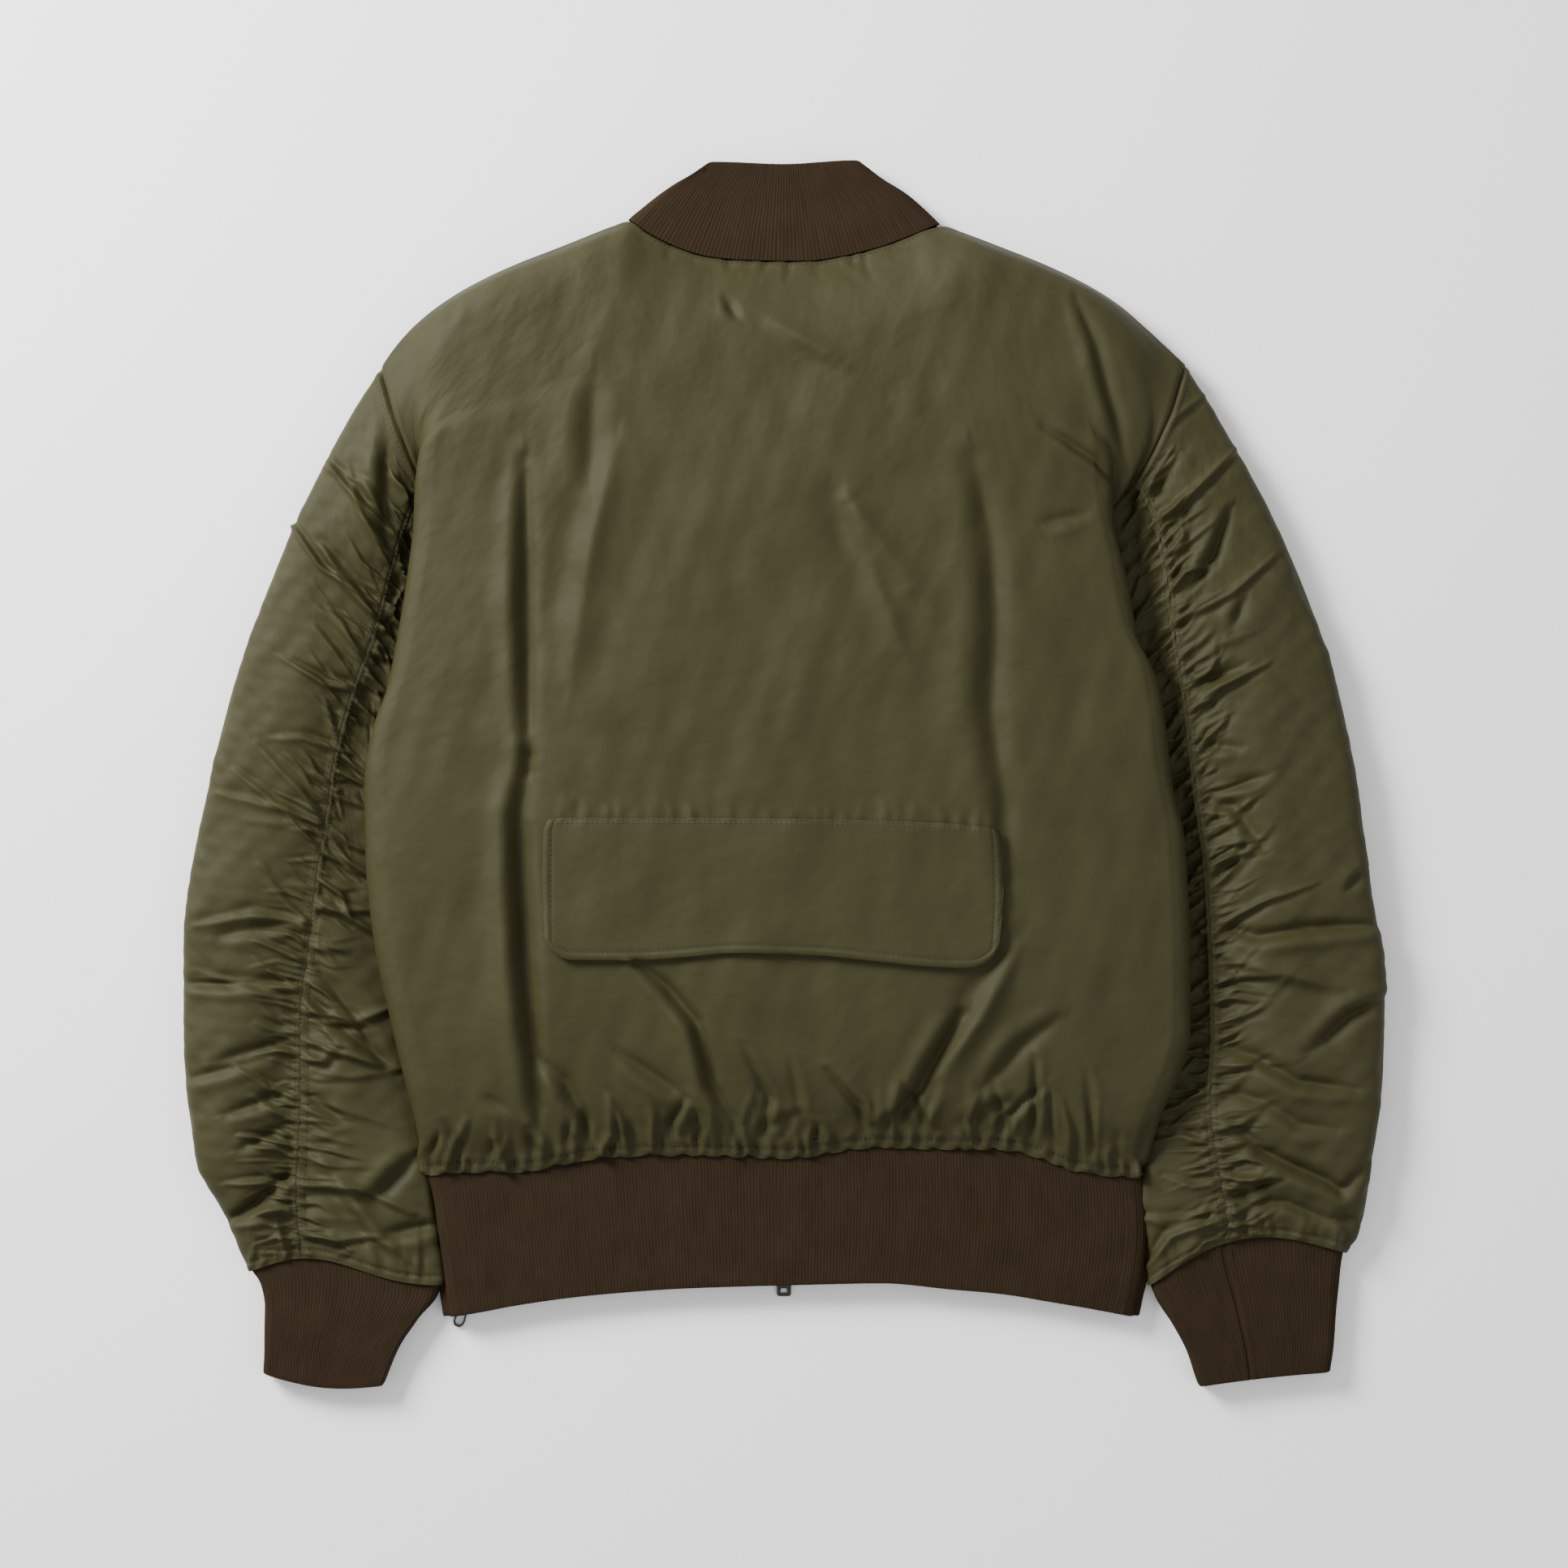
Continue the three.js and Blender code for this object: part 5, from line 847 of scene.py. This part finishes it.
for side in SIGN:
    for piece, last_knot, seed in (("outer", -4, 11), ("under", 13, 12)):
        knots = np.linspace(4, last_knot, 73)
        places = np.concatenate([[0, 0.01, 0.02, 0.035], np.linspace(0.05, 1, 78)])
        base = np.array([[sleeve_point(side, at, knot) for knot in knots] for at in places])
        tube = evenly(base, SLEEVE_ROWS, SLEEVE_COLUMNS)
        out = facing(tube, 1, 5)
        x, y = tube[..., 0], tube[..., 1]
        down = distance(tube, 0)
        from_seam = distance(tube, 1)
        to_cuff = down[-1:] - down
        upper = ease((out[..., 2] + 0.1) / 0.5)
        quiet = ease((down - 4) / 22) * ease((to_cuff - 6) / 20)
        seam_line = tube[:, 0, :2]
        inward = tube[:, 7, :2] - tube[:, 0, :2]
        inward /= np.linalg.norm(inward, axis=1, keepdims=True)
        seed += 20 if side == "right" else 0
        fine = gathers(seam_line, inward, seed, 3.1, (7, 40), 1.25, 1.75)
        long = gathers(seam_line, inward, seed + 5, 12, (26, 85), 2.4, 3.4)
        cuff_line = tube[-1, :, :2]
        at_cuff = gathers(cuff_line, upward[:SLEEVE_COLUMNS], seed + 9, 10, (12, 40), 3, 2.2)
        chance = np.random.default_rng(seed + 3)
        crimp_turn = np.cumsum(chance.uniform(0.6, 1.5, SLEEVE_ROWS)) * 2 * math.pi / 2.9
        band = np.exp(-((from_seam / 3.6) ** 4))
        crimps = band * (0.9 + 0.45 * np.sin(crimp_turn)[:, None] * (0.4 + from_seam / 4))
        crimps = crimps + bump(from_seam, -0.7, 0.9) + bump(from_seam - SEAM_STITCH, -0.5, 1.0)
        under_creases = creases(x, y, UNDERSIDE_CREASES[side]) + np.maximum(0, ripples(x, y, seed, 40, 0.8))
        lift = upper * (
            creases(x, y, SLEEVE_CREASES[side]) * quiet
            + ripples(x, y, 17, 55, 1.0) * quiet
            + ripples(x, y, 18, 17, 0.35) * quiet
            + (creases(x, y, fine) + creases(x, y, long)) * ease(down / 10) * ease(to_cuff / 8)
            + creases(x, y, at_cuff) * ease(to_cuff / 5 + 0.3)
        ) - (1 - upper) * under_creases * quiet * ease((tube[..., 2].max() * 0.4 - tube[..., 2]) / 6)
        lift = lift * (0.25 + 0.75 * ease((from_seam - 2) / 3))
        lift = lift + upper * (crimps * ease(to_cuff / 5) + bump(to_cuff - CUFF_STITCH, -0.8, 1.5))
        lift = lift + upper * seam_dip(down, 1.2, 0.8, 3.5)
        tube = tube + out * lift[..., None]
        tube[..., 2] = np.maximum(tube[..., 2], 0.05)
        out = facing(tube, 1, 5)
        turned = (side == "left") != (piece == "under")
        panel, cut = sheet(f"sleeve_{side}_{piece}_cloth", tube, olive, flip=turned)
        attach(panel, "jacket")
        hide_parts(f"sleeve_{side}_{piece}")
        0.9 * cut[0] * cut[1]
        column_step = from_seam[:, -1].mean() / (SLEEVE_COLUMNS - 1)
        row_step = down[-1].mean() / (SLEEVE_ROWS - 1)
        rows = [
            seam_row(tube, out, 1, SEAM_STITCH / column_step, slice(4, -4)),
            seam_row(tube, out, 0, SLEEVE_ROWS - 1 - CUFF_STITCH / row_step),
            seam_row(tube, out, 0, ARMHOLE_STITCH / row_step, slice(42)),
        ]
        stitches(f"sleeve_{side}_{piece}_stitches", rows, thread_dark_with_hole_shade)

# Collar: a strip of rib knit folded double round the neck, its ends side by side at the front. The ribs run
# from the neck seam to the folded edge.
COLLAR_TOP_OUT = 57     # from the middle to the side folds at the free edge
COLLAR_THICK = 13       # the collar's two sides and what is between them
COLLAR_SPLIT = 1.2      # half the gap between its front ends
COLLAR_TOP_BACK = [(-COLLAR_TOP_OUT, 394), (-48, 399.5), (0, 397.8), (48, 400.5), (COLLAR_TOP_OUT, 394)]
COLLAR_TOP_FRONT = [(0, 352), (25, 356), (42, 368), (50, 381), (COLLAR_TOP_OUT, 394)]


def collar_point(side, place, front, station):
    """A point of the collar: place 1 to 2 from side fold to middle, station from seam to free edge."""
    turn = min(1, (place - 1) / 0.3) * math.pi / 2
    if place < 1.3:
        out = NECK_OUT - NECK_ROUND * (1 - math.cos(turn))
    else:
        out = mix(NECK_OUT - NECK_ROUND, 0, (place - 1.3) / 0.7)
    foot_y = read(NECK_FRONT, out) if front else read(NECK_BACK, SIGN[side] * out)
    if front:
        foot_y = mix(read(SHOULDER[side], NECK_OUT), foot_y, ease((place - 1) / 0.3))
    foot_z = NECK_ROUND + (-1 if front else 1) * NECK_ROUND * math.sin(turn)
    share = out / NECK_OUT
    top_x = max(COLLAR_SPLIT, COLLAR_TOP_OUT * share)
    top_y = read(COLLAR_TOP_FRONT, top_x) if front else read(COLLAR_TOP_BACK, SIGN[side] * top_x)
    z = mix(foot_z, foot_z * COLLAR_THICK / (2 * NECK_ROUND), ease(station))
    x = mix(out, top_x, station) + 4 * math.sin(math.pi * station) * share**3
    x = max(COLLAR_SPLIT if front else 0, x)
    if not front and place == 2:
        x = 0
    return np.array([SIGN[side] * x, mix(foot_y, top_y, station), z])


def knit(name):
    """Rib knit of brown wool: stripes along the ribs, darker where they sink as painted shade in the grooves
    and partly the yarn's own uneven tone, and its small stitches.
    """
    made, shader, start = material(name, 0.95, specular=0.08)
    uv = start.node("ShaderNodeTexCoord", {}, 2)
    u = start.node("ShaderNodeSeparateXYZ", {0: uv})
    v = u.output(1)
    streaked = start.node("ShaderNodeCombineXYZ", {0: u * 700.0, 1: v * 45.0})
    rib_stripes_with_groove_shade = start.node("ShaderNodeTexNoise", {"Vector": streaked, "Scale": 1.0, "Detail": 3.0})
    cloudy = start.node("ShaderNodeTexNoise", {"Vector": uv, "Scale": 60.0, "Detail": 4.0})
    # Colour follows the stripes that also raise the bump, darker where they sink: painted shade in the
    # grooves; the cloudy part is uneven tone.
    shade = rib_stripes_with_groove_shade * 0.75 + cloudy * 0.45 - 0.1
    feed(shade.colour((0.0125, 0.0078, 0.0038, 1), (0.0295, 0.0192, 0.0100, 1)), shader, "Base Color")
    small = start.math("SINE", v * 4800.0) * 0.00004 + rib_stripes_with_groove_shade * 0.0006 + cloudy * 0.0005
    feed(start.node("ShaderNodeBump", {"Height": small, "Strength": 0.6, "Distance": 1.0}), shader, "Normal")
    return made


def rib_band(name, base, column, pitch=2.1, thick=2.4, uneven=0.5, seam=False):
    """A strip of rib knit folded double at its last row. base is its outer face, column the part of its
    length where that face points up, pitch the width of a rib."""
    wide = np.linalg.norm(np.diff(base, axis=1), axis=2).mean(axis=0).sum()
    tall = np.linalg.norm(np.diff(base, axis=0), axis=2).mean(axis=1).sum()
    columns = int(wide / pitch) * 4 + 1
    face = evenly(base, int(tall / 3.2) + 2, columns)
    out = facing(face, 1, int(column * columns))
    u = np.arange(columns) / 4
    down = np.linspace(0, tall, len(face))
    face = face + out * (ripples(face[..., 0], face[..., 1], 31, 38, uneven) * ease(down[:, None] / 14)
                         * ease((tall - down[:, None]) / 14))[..., None]
    if seam:
        edge = np.minimum(u, u[-1] - u) * pitch
        face = face + out * (seam_dip(edge, 1.0, 0.5, 2.6) * (down[:, None] > 0))[..., None]
    end = face[-1] - face[-3]
    end /= np.linalg.norm(end, axis=1, keepdims=True)
    bends = np.linspace(0.5, math.pi - 0.5, 4)
    ways = [out[-1] * math.cos(a) + end * math.sin(a) for a in bends]
    turns = [face[-1] + (way - out[-1]) * thick / 2 for way in ways]
    back_rows = range(len(face) - 1, 0, -3)
    points = np.array([*face, *turns, *[face[i] - out[i] * thick for i in back_rows]])
    ways = np.array([*out, *ways, *[-out[i] for i in back_rows]])
    points = points + ways * (0.2 * np.cos(2 * math.pi * u))[None, :, None]
    points[..., 2] = np.maximum(points[..., 2], 0.05)
    band, cut = sheet(f"{name}_knit", points, brown)
    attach(band, "jacket")
    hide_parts(name)
    0.93 * cut[0] * cut[1]


brown = knit("rib_knit")
places = []
for side, front, first, last, count in (
    ("right", True, 2, 1.02, 30), ("right", False, 1, 2, 31),
    ("left", False, 1.97, 1, 30), ("left", True, 1.02, 2, 30),
):
    places += [(side, place, front) for place in np.linspace(first, last, count)]
base = np.array([[collar_point(*place, station) for place in places] for station in np.linspace(0, 1, 18)])
rib_band("collar", base, 0.5, uneven=0.35)

# Hem band: rib knit folded double round the hips, in one strip from the front edge on the wearer's right
# round the back to the side zip, and a short one from there to the other front edge. The shell is gathered
# onto it.
# Stations down the band and its distance out, then the free edge on the plan.
HEM_SIDES = {
    "left": [(0, 234.5), (0.1, 231.5), (0.4, 227.5), (0.65, 224), (1, 219.4)],
    "right": [(0, 234.6), (0.1, 236.4), (0.4, 237.6), (0.65, 236), (1, 229)],
}
HEM_BOTTOM = [
    (-221, -354), (-205, -351.8), (-172.8, -345.8), (-125, -339.5), (-61.5, -334.9), (1, -333),
    (65, -331.7), (108, -335.6), (144, -338.9), (173, -343.7), (198, -347.9), (230, -354),
]
HEM_LAP = 0.016     # the part of the shell's length that covers the band's sewn edge
# Where the hem is lifted over the pull tabs: x, half width, the y where that starts and where it is full, and
# its height.
HEM_LIFTS = ((0, 24, -262, -303, 4.6), (-210, 14, -290, -322, 5.4))


def outward(point, at, knot, down):
    """The direction square to a surface, from four of its points near a place."""
    n = np.cross(point(at, knot) - point(at - 0.004, knot), point(at, knot + 0.01) - point(at, knot - 0.01))
    n /= np.linalg.norm(n)
    return -n if (n[2] > 0) == down else n


def hem_point(station, piece, knot):
    """A point of the hem band's outer face: piece is a front's side or the back, station 1 its free edge."""

    def shell(at, place):
        if piece == "back":
            return back_point(at, min(12, max(0, place)))
        return front_point(piece, at, min(8, max(0, place)))

    down = piece != "back"
    if station < 0:
        at = 1 + station * HEM_LAP
        return shell(at, knot) - outward(shell, at, knot, down) * 2.6
    p = shell(1, knot) - outward(shell, 1, knot, down) * 2
    rows = HEM_SIDES["left" if p[0] < 0 else "right"]
    start = rows[0][1]
    y = mix(p[1], read(HEM_BOTTOM, p[0] * rows[-1][1] / start), station)
    x = p[0] * read(rows, station) / start
    grown = ease(station / 0.14)
    high = min(1, max(0, (p[2] - 2) / 14))
    lift = max(
        tall * (1 - ease((abs(x - place) - 8) / half)) * ease((top - y) / (top - low))
        for place, half, top, low, tall in HEM_LIFTS
    )
    return np.array([x, y, mix(mix(2, 0, grown), 16, high) + lift * (1 - high) ** 2])


stations = [-1, -0.4, *np.linspace(0, 0.2, 6), *np.linspace(0.28, 1, 10)]
places = [("right", k) for k in np.linspace(8, 0.4, 36)] + [("back", k) for k in np.linspace(11.85, 0.25, 90)]
base = np.array([[hem_point(station, *place) for place in places] for station in stations])
rib_band("hem_band", base, 0.72)
places = [("left", k) for k in np.linspace(1, 8, 34)]
base = np.array([[hem_point(station, *place) for place in places] for station in stations])
rib_band("hem_front_left", base[:, ::-1], 0.5, uneven=0)

# Cuffs: tubes of the same rib knit folded double, under the gathered ends of the sleeves. The right one shows
# its seam on the back.
# Station from the sleeve to the free edge, outer end's x and y, inner end's x and y, and how far the line
# between them bows.
CUFF_TABLE = {
    "left": [
        (0, 348.4, -325.7, 228.4, -336, 9), (0.12, 343, -334, 231, -345, 5),
        (0.35, 340, -349, 240, -357, 0), (0.65, 340.3, -370, 252.5, -375, -2),
        (1, 340.8, -391, 262.2, -399, -5),
    ],
    "right": [
        (0, 366.5, -313.5, 242.4, -336, 21), (0.12, 364.5, -324, 246, -346, 16),
        (0.35, 362, -343, 255, -361, 6), (0.65, 360.5, -366, 264.5, -379, 1),
        (1, 357.5, -390, 271.5, -399.5, 1),
    ],
}


def cuff_point(side, station, knot):
    """A point of a cuff's outer face, station from the hidden end under the sleeve to the free edge."""
    def square(at):
        """The direction square to the sleeve's tube."""
        before, after = sleeve_point(side, at, knot - 0.02), sleeve_point(side, at, knot + 0.02)
        n = np.cross(sleeve_point(side, at, knot) - sleeve_point(side, at - 0.004, knot), after - before)
        return n / np.linalg.norm(n) * (1 if side == "left" else -1)

    if station <= 0:
        at = 1 + station * 0.015
        return sleeve_point(side, at, knot) + square(at) * (-2 + 0.6 * station)
    start = sleeve_point(side, 1, knot) - square(1) * 2
    first, now = read(CUFF_TABLE[side], 0), read(CUFF_TABLE[side], station)
    outer0, inner0 = (np.array([SIGN[side] * a, b]) for a, b in (first[:2], first[2:4]))
    outer, inner = (np.array([SIGN[side] * a, b]) for a, b in (now[:2], now[2:4]))
    along0 = inner0 - outer0
    part = min(1, max(0, (start[:2] - outer0) @ along0 / (along0 @ along0)))
    bow = math.sin(math.pi * part)
    flat = mix(outer, inner, part) + (0, now[4] * bow)
    own = mix(outer0, inner0, part) + (0, first[4] * bow)
    flat = flat + (start[:2] - own) * (1 - ease(station / 0.35))
    grown = ease(station / 0.2)
    high = min(1, max(0, (start[2] - 2) / 13))
    return np.array([*flat, mix(mix(2, 0, grown), 15, high)])


for side, first in (("left", 12.5), ("right", 4)):
    knots = first + np.linspace(0, 17, 120)
    stations = [-1, -0.4, 0, 0.04, 0.08, *np.linspace(0.12, 1, 14)]
    base = np.array([[cuff_point(side, station, knot) for knot in knots] for station in stations])
    rib_band(f"cuff_{side}", base, (3 - first) % 17 / 17 + 0.02, uneven=0.4, seam=side == "right")

# Pocket flap: two layers of the nylon sewn along the top, over the wide pocket on the lower back, with
# rounded lower corners and a row of stitches round its free edges.
FLAP_CORNER = 19    # radius of the lower corners
FLAP_STITCH = 5.4   # row of stitches from the free edges
# The flap's sides by the part of the way down and x, its top and lower edge by x and y.
FLAP_LEFT = [(0, -152.5), (0.12, -155.5), (0.5, -156), (1, -155)]
FLAP_RIGHT = [(0, 139), (0.1, 140.5), (0.5, 141.5), (1, 139.5)]
FLAP_TOP = [
    (-156, -31), (-151, -29), (-142, -28.3), (-52, -28.3), (42, -29.4), (90, -31), (130, -34.2), (141, -37),
]
FLAP_BOTTOM = [
    (-156, -120), (-99, -120.6), (-76, -119.5), (-29, -115.8), (19, -117.4), (55, -120.6), (90, -124.3),
    (113, -125.4), (141, -124),
]


def laid_on(piece, x, y):
    """Height of a piece seen from above at places on the plan, in millimetres."""
    solid = bmesh.new()
    solid.from_mesh(piece.data)
    surface = BVHTree.FromBMesh(solid)
    solid.free()
    found = np.zeros(x.shape)
    for i in np.ndindex(x.shape):
        hit = surface.ray_cast(Vector((x[i] / 1000, y[i] / 1000, 0.2)), Vector((0, 0, -1)))[0]
        found[i] = hit[2] * 1000 if hit else np.nan
    return found


u = np.linspace(0, 1, 200)
u = mix(u, (1 - np.cos(math.pi * u)) / 2, 0.75)
v = np.linspace(0, 1, 66)
v = mix(v, np.sin(math.pi / 2 * v), 0.5)
x = np.array([[mix(read(FLAP_LEFT, b), read(FLAP_RIGHT, b), a) for a in u] for b in v])
bottom = np.array([read(FLAP_BOTTOM, a) for a in x[-1]])
inside = np.minimum(np.minimum(x[-1] - x[-1, 0], x[-1, -1] - x[-1]), FLAP_CORNER)
bottom = bottom + FLAP_CORNER - np.sqrt(FLAP_CORNER**2 - (FLAP_CORNER - inside) ** 2)
top = np.array([read(FLAP_TOP, a) for a in x[0]])
y = top + (bottom - top) * v[:, None]
away = 2.3 + 2.2 * v[:, None] ** 2 + 1.6 * ease((x - 100) / 40)
z = laid_on(back_object, x, y)
for _ in range(24):
    z[1:-1, 1:-1] = (z[1:-1, 1:-1] * 2 + z[:-2, 1:-1] + z[2:, 1:-1] + z[1:-1, :-2] + z[1:-1, 2:]) / 6
edge = np.minimum(np.minimum(x - x[:, :1], x[:, -1:] - x), y - bottom)
z = z + away + ripples(x, y, 23, 55, 0.5) + bump(edge - 3, 0.35, 2.5) + bump(edge, -0.5, 1.2)
z = z + bump(top - y, -0.9, 2) + bump(edge - FLAP_STITCH, -0.45, 1.1)
flap_points = np.stack([x, y, z], axis=2)
flap, cut = sheet("pocket_flap_cloth", flap_points, olive, flip=True)
layers = flap.modifiers.new("second layer", "SOLIDIFY")
layers.thickness = 0.0014
layers.offset = -1
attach(flap, "jacket")
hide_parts("pocket_flap")
plan = flap_points[..., :2]
outline = np.concatenate([plan[:, 0], plan[-1, 1:-1], plan[::-1, -1]])
gone = distance(outline[None], 1)[0]
spots = np.linspace(0, gone[-1], 300)
outline = np.stack([np.interp(spots, gone, outline[:, k]) for k in (0, 1)], axis=1)
tangent = np.gradient(outline, axis=0)
tangent /= np.linalg.norm(tangent, axis=1, keepdims=True)
inset = outline + np.stack([-tangent[:, 1], tangent[:, 0]], axis=1) * FLAP_STITCH
spots = np.linspace(-149, 136, 150)
top_edge = np.array([read(FLAP_TOP, a) for a in spots])
rows = []
for line in (inset[4:-4], *(np.column_stack([spots, top_edge - down]) for down in (1.4, 3.4))):
    heights = laid_on(flap, line[:, 0], line[:, 1])
    rows.append((np.column_stack([line, heights]), np.tile([0.0, 0.0, 1.0], (len(line), 1))))
stitches("pocket_flap_stitches", rows, thread_dark_with_hole_shade)

# Zip sliders and pulls: cast metal with a dark plating, their own shapes are right as they are, so they only
# get a better surface. The tapes are woven.
metal, shader, start = material("dark_metal", 0.32, metallic=1.0)
place = start.node("ShaderNodeTexCoord", {}, 3)
worn = start.node("ShaderNodeTexNoise", {"Vector": place, "Scale": 350.0, "Detail": 3.0})
feed(worn.colour((0.03, 0.029, 0.027, 1), (0.08, 0.077, 0.072, 1)), shader, "Base Color")
feed(worn * 0.25 + 0.32, shader, "Roughness")
feed(start.node("ShaderNodeBump", {"Height": worn, "Strength": 0.15, "Distance": 0.0004}), shader, "Normal")
tape, shader, start = material("zip_tape_weave", 0.85)
place = start.node("ShaderNodeTexCoord", {}, 3)
across = start.node("ShaderNodeSeparateXYZ", {0: place})
weave = start.math("SINE", across.output(1) * 5200.0) + start.math("SINE", across * 5200.0)
feed((weave * 0.25 + 0.5).colour((0.018, 0.016, 0.01, 1), (0.032, 0.029, 0.018, 1)), shader, "Base Color")
feed(start.node("ShaderNodeBump", {"Height": weave, "Strength": 0.4, "Distance": 0.0002}), shader, "Normal")
for look, names in (
    (metal, ("front_zip_slider", "front_zip_pull", "side_zip_slider", "side_zip_pull")),
    (tape, ("front_zip_tape_left", "front_zip_tape_right", "side_zip_tape_outer", "side_zip_tape_inner")),
):
    for name in names:
        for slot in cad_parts[name].material_slots:
            slot.material = look

# Zip teeth: small cast teeth clamped on the inner edge of each tape, those of one tape between those of the
# other. The few inside a slider don't show and aren't made.
TOOTH_PITCH = 2.6
TOOTH_SIZE = (1.8, 1.2, 1.6)     # across the tape, along it and through it
for kind, name, toward, first in (
    ("front", "left", 1, 0), ("front", "right", -1, 0.5), ("side", "outer", 1, 0), ("side", "inner", -1, 0.5),
):
    corners = np.array([v.co[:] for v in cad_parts[f"{kind}_zip_tape_{name}"].data.vertices]) * 1000
    slider = np.array([v.co.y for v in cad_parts[f"{kind}_zip_slider"].data.vertices]) * 1000
    edge = []
    for y in np.unique(np.round(corners[:, 1], 2)):
        row = corners[np.abs(corners[:, 1] - y) < 0.02]
        edge.append((y, (row[:, 0] * toward).max() * toward, row[:, 2].mean()))
    edge = np.array(edge)
    chain = bmesh.new()
    for y in np.arange(edge[0, 0] + 1.5 + first * TOOTH_PITCH, edge[-1, 0] - 1, TOOTH_PITCH):
        if slider.min() - 1 < y < slider.max() + 1:
            continue
        x, z = (np.interp(y, edge[:, 0], edge[:, k]) for k in (1, 2))
        size = Matrix.Diagonal((*(side / 1000 for side in TOOTH_SIZE), 1))
        place = Matrix.Translation(Vector((x, y, z)) / 1000) @ size
        for v in bmesh.ops.create_cube(chain, size=1, matrix=place)["verts"]:
            if (v.co.x * 1000 - x) * toward > 0:
                v.co.y = (y + (v.co.y * 1000 - y) * 0.6) / 1000
    bmesh.ops.bevel(
        chain, geom=chain.edges[:], offset=0.00025, segments=1, profile=0.5, affect="EDGES", material=-1,
    )
    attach(placed(f"{kind}_zip_teeth_{name}", chain, metal), "jacket")
